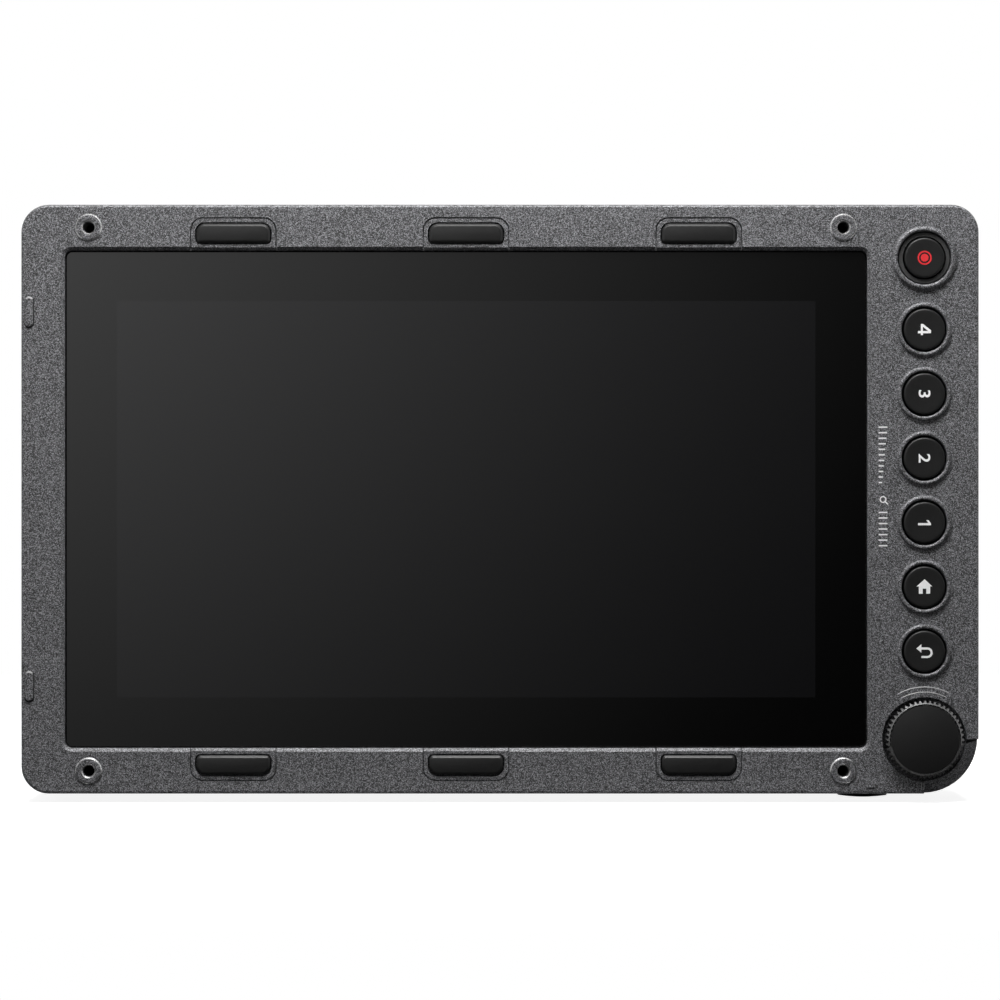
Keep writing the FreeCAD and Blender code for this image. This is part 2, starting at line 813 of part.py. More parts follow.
def add_face_marks(body):
    """Two raised ribs beside the ports and the slot of a small lamp over the power key."""
    ribs = Drawing(body, FRONT, -size.rib_height)
    x = left + size.rib_edge
    half_width, half_length = size.rib_width / 2, size.rib_length / 2
    for z in (video_z, usb_z):
        ribs.box(x - half_width, x + half_width, z - half_length, z + half_length, (half_width,) * 4)
    raised = grow(body, ribs, size.rib_height)
    dress(body, raised, "Fillet", size.rib_round, at_depth(-size.rib_height))
    lamp = Drawing(body, FRONT)
    centred_box(lamp, power_x, size.lamp_edge, size.lamp_width, size.lamp_height)
    cut(body, lamp, size.lamp_depth)


def front_frame():
    """The metal frame: screen opening, borders and control column, hollow behind."""
    body = new_body("front_frame")
    block = grow(body, housing_outline(Drawing(body, FRONT)), size.frame_depth)
    dress(body, block, "Fillet", size.edge_round, at_depth(0))
    cavity = housing_outline(Drawing(body, FRONT, size.front_wall), size.shell_wall)
    cut(body, cavity, size.frame_depth - size.front_wall)
    seat = cut(body, screen_box(Drawing(body, FRONT), 0, 0, size.opening_radius), glass_seat)
    dress(body, seat, "Chamfer", size.opening_chamfer, on_opening_rim)
    window = screen_box(Drawing(body, FRONT), size.ledge_width, size.ledge_width, size.opening_radius)
    cut(body, window, size.front_wall)
    add_frame_pads(body)
    add_frame_posts(body)
    add_hood_bosses(body)
    add_key_holes(body)
    add_dial_well(body)
    add_face_marks(body)
    groove = Drawing(body, FRONT, size.frame_depth - size.seal_height)
    housing_outline(groove, size.seal_inset - size.fit_gap)
    housing_outline(groove, size.seal_inset + size.seal_width + size.fit_gap)
    cut(body, groove, size.seal_height)
    return body


# Rear cover
def add_cover_posts(body):
    """Posts for the case screws, bored from behind for their heads."""
    post_front = size.frame_depth
    grow(body, Drawing(body, FRONT, post_front).circles(screw_places, size.cover_post_radius),
         cover_inside - post_front)
    cut(body, Drawing(body, FRONT, post_front).circles(screw_places, size.screw_radius + size.cover_bore_gap),
        size.cover_depth)
    floor = post_front + size.screw_floor
    cut(body, Drawing(body, FRONT, floor).circles(screw_places, size.screw_head_radius + size.cover_bore_gap),
        total_depth - floor)


def add_tripod_bosses(body):
    """Round bosses inside the two narrow sides, with the seats of the threaded inserts."""
    boss_end = size.tripod_insert_length + size.tripod_boss_floor
    boss_length = boss_end - size.shell_wall
    ends = ((size.shell_wall, as_size(0)), (body_height - boss_end, body_height - size.tripod_insert_length))
    for boss_low, seat_low in ends:
        boss = Drawing(body, LEVEL, boss_low)
        boss.circle(0, setback, size.tripod_boss_radius)
        grow(body, boss, boss_length)
        seat = Drawing(body, LEVEL, seat_low)
        seat.circle(0, setback, size.tripod_insert_radius + size.press_gap)
        cut(body, seat, size.tripod_insert_length)


def add_cover_openings(body):
    """Holes for the two sockets and the power key."""
    video = Drawing(body, SIDE, left)
    video_outline(video, size.socket_gap)
    cut(body, video, size.shell_wall)
    usb = Drawing(body, SIDE, left)
    usb_outline(usb, size.socket_gap)
    cut(body, usb, size.shell_wall)
    power = Drawing(body, LEVEL)
    power.circle(power_x, setback, size.power_radius + size.power_gap)
    cut(body, power, size.shell_wall)


def add_cooling(body):
    """Cooling grooves across the back and rows of air slots through the narrow sides."""
    groove = Drawing(body, FRONT, total_depth - size.groove_depth)
    half_length, half_width = size.groove_length / 2, size.groove_width / 2
    span = size.groove_pitch * (GROOVES - 1)
    low = middle - span / 2
    groove.box(-half_length, half_length, low - half_width, low + half_width, (half_width,) * 4)
    repeat(body, "LinearPattern", cut(body, groove, size.groove_depth), "Z_Axis", span, GROOVES)
    for start, count in ((-size.vent_left, LEFT_VENTS), (size.vent_right, RIGHT_VENTS)):
        for wall_low in (as_size(0), body_height - size.shell_wall):
            vent = Drawing(body, LEVEL, wall_low)
            half = size.vent_width / 2
            half_vent = size.vent_length / 2
            vent.box(start - half, start + half, setback - half_vent, setback + half_vent, (half,) * 4)
            slot = cut(body, vent, size.shell_wall)
            repeat(body, "LinearPattern", slot, "X_Axis", size.vent_pitch * (count - 1), count)


def rear_cover():
    """The finned back shell that closes the frame."""
    body = new_body("rear_cover")
    block = grow(body, housing_outline(Drawing(body, FRONT, size.frame_depth)), size.cover_depth)
    dress(body, block, "Chamfer", size.cover_chamfer, at_depth(total_depth))
    cavity = housing_outline(Drawing(body, FRONT, size.frame_depth), size.shell_wall)
    cut(body, cavity, size.cover_depth - size.cover_back)
    add_cover_posts(body)
    add_tripod_bosses(body)
    add_cover_openings(body)
    add_cooling(body)
    return body


def cover_seal():
    """The rubber cord in the groove between frame and cover."""
    body = new_body("cover_seal")
    ring = Drawing(body, FRONT, size.frame_depth - size.seal_height)
    housing_outline(ring, size.seal_inset)
    housing_outline(ring, size.seal_inset + size.seal_width)
    grow(body, ring, size.seal_height)
    return body


# Screws and inserts
def screws(name, places, seat, radius, length, head_radius, head_height):
    """A group of socket-head screws whose heads stand behind a seat."""
    body = new_body(name)
    grow(body, Drawing(body, FRONT, seat).circles(places, head_radius), head_height)
    grow(body, Drawing(body, FRONT, seat - length).circles(places, radius), length)
    socket = Drawing(body, FRONT, seat + head_height - size.screw_socket_depth)
    cut(body, socket.circles(places, size.screw_socket_radius), size.screw_socket_depth)
    return body


def small_screws(name, places, seat):
    """A group of the small screws that hold the boards and the chassis."""
    return screws(name, places, seat, size.small_screw_radius, size.small_screw_length,
                  size.small_screw_head, size.small_screw_head_height)


def hood_inserts():
    """Threaded inserts behind the four hood holes."""
    body = new_body("hood_inserts")
    length = hood_post_end - size.hood_lip
    grow(body, Drawing(body, FRONT, size.hood_lip).circles(hood_places, size.hood_insert_radius), length)
    cut(body, Drawing(body, FRONT, size.hood_lip).circles(hood_places, size.hood_thread_radius), length)
    return body


def tripod_insert(name, z, upwards):
    """A threaded insert, blind at its inner end."""
    body = new_body(name, 0, z, depth=False)
    length, thread = size.tripod_insert_length, size.tripod_thread_length
    outside = Drawing(body, LEVEL, 0 if upwards else -length)
    outside.circle(0, 0, size.tripod_insert_radius)
    grow(body, outside, length)
    bore = Drawing(body, LEVEL, 0 if upwards else -thread)
    bore.circle(0, 0, size.tripod_thread_radius)
    cut(body, bore, thread)
    return body


# Display stack
def touch_glass():
    """The cover glass, set into the opening."""
    body = new_body("touch_glass")
    drawing = Drawing(body, FRONT, size.glass_recess)
    screen_box(drawing, size.glass_gap, size.glass_gap, size.opening_radius - size.glass_gap)
    glass = grow(body, drawing, size.glass_thickness)
    dress(body, glass, "Chamfer", size.glass_bevel, at_depth(size.glass_recess))
    return body


def glass_tape():
    """The adhesive ring between the glass and the ledge."""
    body = new_body("glass_tape")
    drawing = Drawing(body, FRONT, glass_back)
    screen_box(drawing, 2 * size.glass_gap, 2 * size.glass_gap, size.opening_radius)
    screen_box(drawing, size.ledge_width, size.ledge_width, size.opening_radius)
    grow(body, drawing, size.tape_thickness)
    return body


def panel_plate(name, front, thickness, inset=0):
    """A plate of the display panel's outline, drawn in by an inset."""
    body = new_body(name)
    drawing = Drawing(body, FRONT, front)
    screen_box(drawing, size.panel_margin_side + inset, size.panel_margin_end + inset)
    grow(body, drawing, thickness)
    return body


def backlight_tray():
    """The metal tray round the light guide."""
    body = panel_plate("backlight_tray", panel_back, tray_back - panel_back)
    hollow = Drawing(body, FRONT, panel_back)
    screen_box(hollow, size.panel_margin_side + size.tray_wall, size.panel_margin_end + size.tray_wall)
    cut(body, hollow, size.guide_thickness)
    return body


def display_chassis():
    """The sheet plate that clamps the display stack, with an ear at each screw."""
    body = new_body("display_chassis")
    plate = Drawing(body, FRONT, tray_back)
    screen_box(plate, size.panel_margin_side, 0)
    grow(body, plate, size.chassis_thickness)
    ears = Drawing(body, FRONT, tray_back)
    for x, z in ear_places:
        reach = size.chassis_ear_edge * 2
        centred_box(ears, x, z, size.chassis_ear_width, reach - size.shell_wall * 2)
    grow(body, ears, size.chassis_thickness)
    holes = Drawing(body, FRONT, tray_back).circles(ear_places, size.small_screw_radius + size.cover_bore_gap)
    cut(body, holes, size.chassis_thickness)
    return body


def board_standoffs():
    """Threaded pillars between the chassis and the main board."""
    body = new_body("board_standoffs")
    grow(body, Drawing(body, FRONT, chassis_back).circles(standoff_places, size.standoff_radius),
         size.standoff_length)
    bore = Drawing(body, FRONT, chassis_back)
    cut(body, bore.circles(standoff_places, size.small_screw_radius + size.screw_gap), size.standoff_length)
    return body


def display_ribbon():
    """The flat cable from the panel's edge back to the main board."""
    body = new_body("display_ribbon")
    drawing = Drawing(body, LEVEL, middle - size.ribbon_width / 2)
    panel_left = screen_x - size.opening_width / 2 + size.panel_margin_side
    bow = panel_left - size.ribbon_bow
    thick = size.ribbon_thickness
    start = (glass_back + panel_back) / 2
    drawing.outline([
        (panel_left, start), (bow, start), (bow, board_front), (bow + size.ribbon_tail, board_front),
        (bow + size.ribbon_tail, board_front - thick), (bow + thick, board_front - thick),
        (bow + thick, start + thick), (panel_left, start + thick),
    ])
    grow(body, drawing, size.ribbon_width)
    return body


# Main board
def main_board():
    """The circuit board, notched round the two tripod bosses."""
    body = new_body("main_board")
    low = size.end_border + size.board_margin
    high = body_height - low
    board_left = left + size.shell_wall + size.board_gap
    board_right = right - size.board_right
    boss = size.tripod_insert_length + size.tripod_boss_floor + size.board_notch
    notch = size.tripod_boss_radius + size.board_notch
    drawing = Drawing(body, FRONT, board_front)
    drawing.outline([
        (board_left, low), (-notch, low), (-notch, boss), (notch, boss), (notch, low), (board_right, low),
        (board_right, high), (notch, high), (notch, body_height - boss), (-notch, body_height - boss),
        (-notch, high), (board_left, high),
    ])
    grow(body, drawing, size.board_thickness)
    holes = Drawing(body, FRONT, board_front)
    holes.circles(standoff_places, size.small_screw_radius + size.cover_bore_gap)
    cut(body, holes, size.board_thickness)
    return body


def block(name, places, front, width, height, thickness):
    """A group of plain rectangular blocks."""
    body = new_body(name)
    drawing = Drawing(body, FRONT, front)
    for x, z in places:
        centred_box(drawing, x, z, width, height)
    grow(body, drawing, thickness)
    return body


def heat_spreader():
    """The aluminium plate that carries the processor's heat to the cover."""
    body = new_body("heat_spreader")
    foot_front = board_back + size.processor_height + size.thermal_pad_thickness
    plate_front = cover_inside - size.spreader_plate
    foot = Drawing(body, FRONT, foot_front)
    centred_box(foot, as_size(0), middle, size.spreader_foot, size.spreader_foot)
    grow(body, foot, plate_front - foot_front)
    plate = Drawing(body, FRONT, plate_front)
    centred_box(plate, as_size(0), middle, size.spreader_width, size.spreader_height)
    grow(body, plate, size.spreader_plate)
    return body


def video_outline(drawing, gap=0):
    """The tapered outline of the video socket on the left side, as depth and height."""
    gap = as_size(gap)
    half = size.video_width / 2 + gap
    front, back = board_back - gap, board_back + size.video_height + gap
    narrow = half - size.video_taper
    shoulder = back - size.video_taper
    drawing.outline([
        (front, video_z - half), (shoulder, video_z - half), (back, video_z - narrow),
        (back, video_z + narrow), (shoulder, video_z + half), (front, video_z + half),
    ])


def usb_outline(drawing, gap=0):
    """The rounded outline of the small data socket, as depth and height."""
    gap = as_size(gap)
    half = size.usb_width / 2 + gap
    radius = size.usb_height / 2 + gap
    front, back = board_back - gap, board_back + size.usb_height + gap
    drawing.box(front, back, usb_z - half, usb_z + half, (radius,) * 4)


def socket(name, outline, length, height, width, tongue, z):
    """A socket shell with a hollow mouth and a contact tongue."""
    body = new_body(name)
    mouth = left + size.socket_recess
    shell = Drawing(body, SIDE, mouth)
    outline(shell)
    grow(body, shell, length)
    hollow = Drawing(body, SIDE, mouth)
    outline(hollow, -size.socket_shell)
    cut(body, hollow, size.socket_depth)
    blade = Drawing(body, SIDE, mouth + size.socket_depth / 3)
    centred_box(blade, board_back + height / 2, z, tongue, width - size.tongue_margin * 3)
    grow(body, blade, size.socket_depth * (2 / 3))
    return body


# Keys
def key_cap(name, z, radius, rise, flange_front):
    """A round key with a rounded edge, a flange behind the face and a short stem."""
    body = new_body(name, key_x, z)
    flange_back = flange_front + size.key_flange_thickness
    drawing = Drawing(body, LEVEL)
    drawing.outline([
        (0, -rise), (0, stem_end), (size.key_stem_radius, stem_end), (size.key_stem_radius, flange_back),
        (key_flange, flange_back), (key_flange, flange_front), (radius, flange_front),
        (radius, size.key_round - rise, size.key_round, RIGHT_TURN), (radius - size.key_round, -rise),
    ])
    turn(body, drawing)
    return body


def plunger(name, z):
    """The small plunger of a key's switch, which rides on the key's stem."""
    body = new_body(name, key_x, z)
    drawing = Drawing(body, FRONT, stem_end)
    drawing.circle(0, 0, size.plunger_radius)
    grow(body, drawing, size.switch_gap + size.plunger_reach)
    return body


def rec_ring():
    """The light ring round the record key, flanged behind the face."""
    body = new_body("rec_ring", key_x, rec_z)
    flange_back = size.front_wall + size.rec_ring_flange
    flange = rec_hole + size.rec_flange_lap
    drawing = Drawing(body, LEVEL)
    drawing.outline([
        (rec_ring_inner, -size.rec_ring_rise), (rec_ring_inner, flange_back), (flange, flange_back),
        (flange, size.front_wall), (rec_ring_outer, size.front_wall), (rec_ring_outer, -size.rec_ring_rise),
    ])
    turn(body, drawing)
    return body


def tact_switches():
    """The switch bodies on the key board, each bored for its plunger."""
    side = size.switch_size
    body = block("tact_switches", switch_places, switch_front, side, side, size.switch_height)
    bores = Drawing(body, FRONT, switch_front).circles(switch_places, size.switch_bore)
    cut(body, bores, size.switch_bore_depth)
    return body


def key_board():
    """The narrow board behind the keys and the dial."""
    body = new_body("key_board")
    half = size.key_board_width / 2
    low = dial_z - size.encoder_size / 2
    high = rec_z + size.switch_size / 2
    drawing = Drawing(body, FRONT, key_board_front)
    drawing.box(key_x - half, key_x + half, low, high)
    grow(body, drawing, size.key_board_thickness)
    holes = Drawing(body, FRONT, key_board_front)
    holes.circles(key_screw_places, size.small_screw_radius + size.screw_gap)
    cut(body, holes, size.key_board_thickness)
    return body


# Dial
def dial_knob():
    """The knurled knob: a bevelled rim, a recess for the cap and a hollow underside."""
    body = new_body("dial_knob", key_x, dial_z)
    top = -size.dial_rise
    recess = top + size.dial_cap_thickness
    recess_radius = size.dial_cap_radius + size.dial_cap_gap
    bore = size.shaft_radius + size.press_gap
    cavity = dial_foot - size.dial_cavity_depth
    rim = size.dial_radius - size.dial_bevel
    drawing = Drawing(body, LEVEL)
    drawing.outline([
        (bore, recess), (bore, cavity), (size.dial_cavity_radius, cavity),
        (size.dial_cavity_radius, dial_foot), (size.dial_radius, dial_foot),
        (size.dial_radius, top + size.dial_bevel), (rim, top), (recess_radius, top), (recess_radius, recess),
    ])
    turn(body, drawing)
    tooth_gap = Drawing(body, FRONT, top)
    outside = size.dial_radius + size.knurl_depth
    tooth_gap.outline([
        (-size.knurl_width, outside), (0, size.dial_radius - size.knurl_depth), (size.knurl_width, outside),
    ])
    gap = cut(body, tooth_gap, size.dial_rise + dial_foot)
    repeat(body, "PolarPattern", gap, "Y_Axis", None, KNURL_TEETH)
    return body


def disc(name, x, z, front, radius, length):
    """A plain round piece on an axis of its own."""
    body = new_body(name, x, z)
    drawing = Drawing(body, FRONT, front)
    drawing.circle(0, 0, radius)
    grow(body, drawing, length)
    return body


def encoder_body():
    """The encoder under the dial: a square body with a bushing through the well's floor."""
    body = new_body("encoder_body", key_x, dial_z)
    roof = size.front_wall + size.encoder_gap
    cavity = roof + size.encoder_roof
    case = Drawing(body, FRONT, roof)
    centred_box(case, as_size(0), as_size(0), size.encoder_size, size.encoder_size)
    grow(body, case, key_board_front - roof)
    bushing = Drawing(body, FRONT, bushing_front)
    bushing.circle(0, 0, size.bushing_radius)
    grow(body, bushing, roof - bushing_front)
    bore = Drawing(body, FRONT, bushing_front)
    bore.circle(0, 0, size.shaft_radius + size.fit_gap)
    cut(body, bore, cavity - bushing_front)
    chamber = Drawing(body, FRONT, cavity)
    chamber.circle(0, 0, size.encoder_cavity_radius)
    cut(body, chamber, key_board_front - cavity)
    return body


# Power key
power_flange_low = size.shell_wall + size.key_play
power_stem_top = power_flange_low + size.power_flange_thickness + size.power_stem_length
power_switch_low = power_stem_top + size.switch_gap


def power_button():
    """The domed key in the underside."""
    body = new_body("power_button", power_x, depth=False)
    flange_top = power_flange_low + size.power_flange_thickness
    flange = size.power_radius + size.power_gap + size.power_flange_lap
    squares = size.power_radius * size.power_radius + size.power_dome * size.power_dome
    dome_radius = squares / (2 * size.power_dome)
    drawing = Drawing(body, FRONT)
    drawing.outline([
        (0, -size.power_rise - size.power_dome, dome_radius, LEFT_TURN),
        (size.power_radius, -size.power_rise),
        (size.power_radius, power_flange_low), (flange, power_flange_low), (flange, flange_top),
        (size.key_stem_radius, flange_top), (size.key_stem_radius, power_stem_top), (0, power_stem_top),
    ])
    turn(body, drawing)
    return body


def power_plunger():
    """The plunger of the power key's switch."""
    body = new_body("power_plunger", power_x, depth=False)
    drawing = Drawing(body, LEVEL, power_stem_top)
    drawing.circle(0, 0, size.plunger_radius)
    grow(body, drawing, size.switch_gap + size.plunger_reach)
    return body


def power_switch():
    """The side-facing switch on the main board, bored for its plunger."""
    body = new_body("power_switch", power_x)
    half = size.power_switch_width / 2
    case = Drawing(body, LEVEL, power_switch_low)
    case.box(-half, half, board_back, setback + size.power_switch_back)
    grow(body, case, size.power_switch_height)
    bore = Drawing(body, LEVEL, power_switch_low)
    bore.circle(0, setback, size.switch_bore)
    cut(body, bore, size.switch_bore_depth)
    return body


def bumper_pad(name, place):
    """A rubber pad with a bevelled top and two stems."""
    body = new_body(name)
    drawing = Drawing(body, FRONT, -size.pad_rise)
    pad_outline(drawing, place)
    head = grow(body, drawing, size.pad_rise + pad_seat)
    dress(body, head, "Chamfer", size.pad_bevel, at_depth(-size.pad_rise))
    stems = Drawing(body, FRONT, pad_seat).circles(pad_stems(place), size.pad_stem_radius)
    grow(body, stems, size.pad_stem_length)
    return body


def build_pieces():
    """Makes every piece of the monitor."""
    centre = (as_size(0), middle)
    chip_back = board_back + size.processor_height
    memory_places = [(size.memory_shift, middle + size.memory_spread / 2 * side) for side in (-1, 1)]
    rec_flange_front = size.front_wall + size.rec_ring_flange + size.key_play
    pieces = [
        front_frame(),
        rear_cover(),
        cover_seal(),
        screws("case_screws", screw_places, size.frame_depth + size.screw_floor, size.screw_radius,
               size.screw_length, size.screw_head_radius, size.screw_head_height),
        hood_inserts(),
        tripod_insert("base_insert", as_size(0), True),
        tripod_insert("top_insert", body_height, False),
        touch_glass(),
        glass_tape(),
        panel_plate("lcd_panel", glass_back, size.panel_thickness),
        panel_plate("light_guide", panel_back, size.guide_thickness, size.tray_wall + size.fit_gap),
        backlight_tray(),
        display_chassis(),
        small_screws("chassis_screws", ear_places, chassis_back),
        board_standoffs(),
        display_ribbon(),
        main_board(),
        small_screws("board_screws", standoff_places, board_back),
        block("processor_chip", [centre], board_back, size.processor_size, size.processor_size,
              size.processor_height),
        block("memory_chips", memory_places, board_back, size.memory_width, size.memory_height,
              size.memory_thickness),
        block("thermal_pad", [centre], chip_back, size.thermal_pad_size, size.thermal_pad_size,
              size.thermal_pad_thickness),
        heat_spreader(),
        socket("video_socket", video_outline, size.video_length, size.video_height, size.video_width,
               size.video_tongue, video_z),
        socket("usb_socket", usb_outline, size.usb_length, size.usb_height, size.usb_width,
               size.usb_tongue, usb_z),
        key_board(),
        small_screws("key_board_screws", key_screw_places, key_board_front + size.key_board_thickness),
        tact_switches(),
        rec_ring(),
        key_cap("rec_button", rec_z, size.rec_radius, size.rec_rise, rec_flange_front),
        plunger("rec_plunger", rec_z),
        dial_knob(),
        disc("dial_cap", key_x, dial_z, -size.dial_rise, size.dial_cap_radius, size.dial_cap_thickness),
        disc("dial_shaft", key_x, dial_z, size.dial_cap_thickness - size.dial_rise, size.shaft_radius,
             shaft_end + size.dial_rise - size.dial_cap_thickness),
        disc("encoder_plunger", key_x, dial_z, shaft_end, size.encoder_plunger_radius,
             size.encoder_plunger_height),
        encoder_body(),
        power_button(),
        power_plunger(),
        power_switch(),
    ]
    for name, z in key_heights.items():
        pieces.append(key_cap(name, z, size.key_radius, size.key_rise, key_flange_front))
        pieces.append(plunger(name.replace("button", "plunger"), z))
    for name, place in pad_places.items():
        pieces.append(bumper_pad(name, place))
    return pieces


def write_pieces(pieces):
    """Checks every object of the document, then writes each piece to its own file."""
    doc.recompute()
    failed = [item.Label for item in doc.Objects if {"Invalid", "Error"} & set(item.State)]
    if failed:
        raise RuntimeError(f"failed objects: {failed}")
    for piece in pieces:
        if piece.Shape.isNull() or not piece.Shape.isValid():
            raise RuntimeError(f"bad shape: {piece.Label}")
    os.makedirs("parts", exist_ok=True)
    for piece in pieces:
        piece.Shape.exportStep(f"parts/{piece.Label}.step")
        print(f"{piece.Label}: {len(piece.Shape.Solids)} solids, {piece.Shape.Volume:.2f} mm3")


write_pieces(build_pieces())
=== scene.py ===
"""Looks of a camera field monitor: its finishes, moulded pieces, printing and the studio round it.

The frame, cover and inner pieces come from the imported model. Pads, keys, dial, threads, contacts and
printing are modelled here, each where its solid is. Lengths are in metres, X right, Y back and Z up.
"""

import logging
import math
from collections.abc import Callable, Iterator, Sequence
from contextlib import contextmanager
from dataclasses import dataclass
from enum import Enum

import bmesh
import bpy
from mathutils import Matrix, Vector


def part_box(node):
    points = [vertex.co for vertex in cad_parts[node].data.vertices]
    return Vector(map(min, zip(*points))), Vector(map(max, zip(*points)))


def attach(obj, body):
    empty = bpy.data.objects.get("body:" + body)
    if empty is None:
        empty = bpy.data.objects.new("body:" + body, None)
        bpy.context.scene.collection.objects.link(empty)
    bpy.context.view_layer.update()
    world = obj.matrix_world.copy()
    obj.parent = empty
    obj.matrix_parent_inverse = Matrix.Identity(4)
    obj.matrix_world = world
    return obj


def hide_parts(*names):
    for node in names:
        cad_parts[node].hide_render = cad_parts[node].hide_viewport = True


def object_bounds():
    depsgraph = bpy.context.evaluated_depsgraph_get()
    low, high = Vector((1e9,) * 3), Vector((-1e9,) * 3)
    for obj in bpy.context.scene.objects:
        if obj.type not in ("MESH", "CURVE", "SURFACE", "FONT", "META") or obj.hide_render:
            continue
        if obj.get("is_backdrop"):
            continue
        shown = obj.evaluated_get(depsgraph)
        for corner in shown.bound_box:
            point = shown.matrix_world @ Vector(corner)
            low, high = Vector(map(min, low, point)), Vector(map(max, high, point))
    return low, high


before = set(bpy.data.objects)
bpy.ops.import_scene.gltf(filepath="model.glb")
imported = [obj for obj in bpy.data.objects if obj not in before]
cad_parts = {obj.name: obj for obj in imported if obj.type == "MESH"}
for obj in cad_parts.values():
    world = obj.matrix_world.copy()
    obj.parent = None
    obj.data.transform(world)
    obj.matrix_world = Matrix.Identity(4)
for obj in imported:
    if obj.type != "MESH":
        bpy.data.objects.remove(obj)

log = logging.getLogger("field_monitor")

MM = 0.001
NEAR = 0.002 * MM

FRAME_FACE = -16.5 * MM
SCREEN_MIDDLE = (-5.4 * MM, 46.85 * MM)
PATTERN_LOW, PATTERN_HIGH = 0.3, 0.7
WHITE = (1.0, 1.0, 1.0, 1.0)

Piece = bpy.types.Object
Socket = bpy.types.NodeSocket
Tone = tuple[float, float, float]
Test = Callable[[list[Vector]], bool]
Outline = Sequence[tuple[float, float]]
Inputs = dict[str, Socket | float | Sequence[float]]


# Modelling bench
class Part(Enum):
    """What a selection takes in edit mode."""

    VERTEX = "VERT"
    EDGE = "EDGE"
    FACE = "FACE"

    def members(self, mesh: bmesh.types.BMesh) -> list:
        """Lists what a selection takes.

        Args:
            mesh: the mesh in edit mode.

        Returns:
            Its vertices, edges or faces.
        """
        if self is Part.VERTEX:
            return list(mesh.verts)
        return list(mesh.edges if self is Part.EDGE else mesh.faces)

    def corners(self, member: object) -> list[Vector]:
        """The corner points of one vertex, edge or face."""
        return [member.co] if self is Part.VERTEX else [vertex.co for vertex in member.verts]


def hold(*pieces: Piece) -> None:
    """Leaves edit mode and selects only some pieces.

    Args:
        pieces: what is selected, the active one first.
    """
    if bpy.context.mode != "OBJECT":
        bpy.ops.object.mode_set(mode="OBJECT")
    bpy.ops.object.select_all(action="DESELECT")
    for piece in pieces:
        piece.select_set(True)
    if pieces:
        bpy.context.view_layer.objects.active = pieces[0]


def settle(piece: Piece) -> Piece:
    """Moves a piece's place, turn and scale into its mesh.

    Args:
        piece: the piece.

    Returns:
        The same piece.
    """
    hold(piece)
    bpy.ops.object.transform_apply(location=True, rotation=True, scale=True)
    return piece


def named(name: str) -> Piece:
    """Names the primitive that was just added, and settles it.

    Args:
        name: its name, and its mesh's.

    Returns:
        The piece.
    """
    piece = bpy.context.active_object
    piece.name = name
    piece.data.name = name
    return settle(piece)


def block(name: str, low: Vector, high: Vector) -> Piece:
    """A box between two corners, as the start of a piece.

    Args:
        name: the piece's name.
        low: its lowest corner.
        high: its highest corner.

    Returns:
        The new piece, settled.
    """
    hold()
    bpy.ops.mesh.primitive_cube_add(size=1.0, location=(low + high) / 2)
    bpy.context.active_object.scale = high - low
    return named(name)


def drum(name: str, middle: Vector, radius: float, back: float, sides: int = 72) -> Piece:
    """A cylinder along Y, as the start of a round piece.

    Args:
        name: the piece's name.
        middle: the middle of its front face.
        radius: its radius.
        back: the depth of its rear face.
        sides: how many flats go round it.

    Returns:
        The new piece, settled.
    """
    hold()
    bpy.ops.mesh.primitive_cylinder_add(
        vertices=sides, radius=radius, depth=back - middle.y,
        location=(middle.x, (middle.y + back) / 2, middle.z), rotation=(math.pi / 2, 0, 0))
    return named(name)


@contextmanager
def editing(piece: Piece) -> Iterator[None]:
    """Opens a piece in edit mode and closes it again.

    Args:
        piece: the piece.
    """
    hold(piece)
    bpy.ops.object.mode_set(mode="EDIT")
    yield
    bpy.ops.object.mode_set(mode="OBJECT")


def pick(piece: Piece, part: Part, wanted: Test) -> None:
    """Selects what a test wants of the piece in edit mode.

    Args:
        piece: the piece in edit mode.
        part: vertices, edges or faces.
        wanted: a test of the corner points.
    """
    bpy.ops.mesh.select_mode(type=part.value)
    bpy.ops.mesh.select_all(action="DESELECT")
    mesh = bmesh.from_edit_mesh(piece.data)
    for member in part.members(mesh):
        member.select_set(wanted(part.corners(member)))
    mesh.select_flush_mode()
    bmesh.update_edit_mesh(piece.data)


def at_depth(*depths: float) -> Test:
    """A test for what lies at one depth, any of those given."""
    return lambda corners: any(all(abs(corner.y - depth) < NEAR for corner in corners) for depth in depths)


def at_height(height: float) -> Test:
    """A test for what lies at one height."""
    return lambda corners: all(abs(corner.z - height) < NEAR for corner in corners)


def along_depth(height: float) -> Test:
    """A test for straight edges along Y at one height."""
    return lambda corners: at_height(height)(corners) and abs(corners[0].y - corners[-1].y) > NEAR


def extrude(offset: Sequence[float]) -> None:
    """Extrudes the selection by an offset."""
    bpy.ops.mesh.extrude_region_move(TRANSFORM_OT_translate={"value": tuple(offset)})


def spread(ratio: float, centre: Vector) -> None:
    """Scales the selection across Y about a centre."""
    bpy.ops.transform.resize(value=(ratio, 1.0, ratio), center_override=tuple(centre))


def round_edges(width: float, segments: int) -> None:
    """Rounds the selected edges."""
    bpy.ops.mesh.bevel(offset=width, segments=segments, affect="EDGES")


def open_cone(name: str, middle: Vector, front: float, back: float, depth: float, sides: int = 64) -> Piece:
    """Models a cone without ends, as the start of a thin ring.

    Args:
        name: the piece's name.
        middle: the middle of its front.
        front: its radius at the front.
        back: its radius at the back.
        depth: how far its back lies behind its front.
        sides: the number of its faces.

    Returns:
        The new piece.
    """
    cone = drum(name, middle, back, middle.y + depth, sides)
    with editing(cone):
        pick(cone, Part.FACE, at_depth(middle.y, middle.y + depth))
        bpy.ops.mesh.delete(type="ONLY_FACE")
        pick(cone, Part.VERTEX, at_depth(middle.y))
        spread(front / back, middle)
    return cone


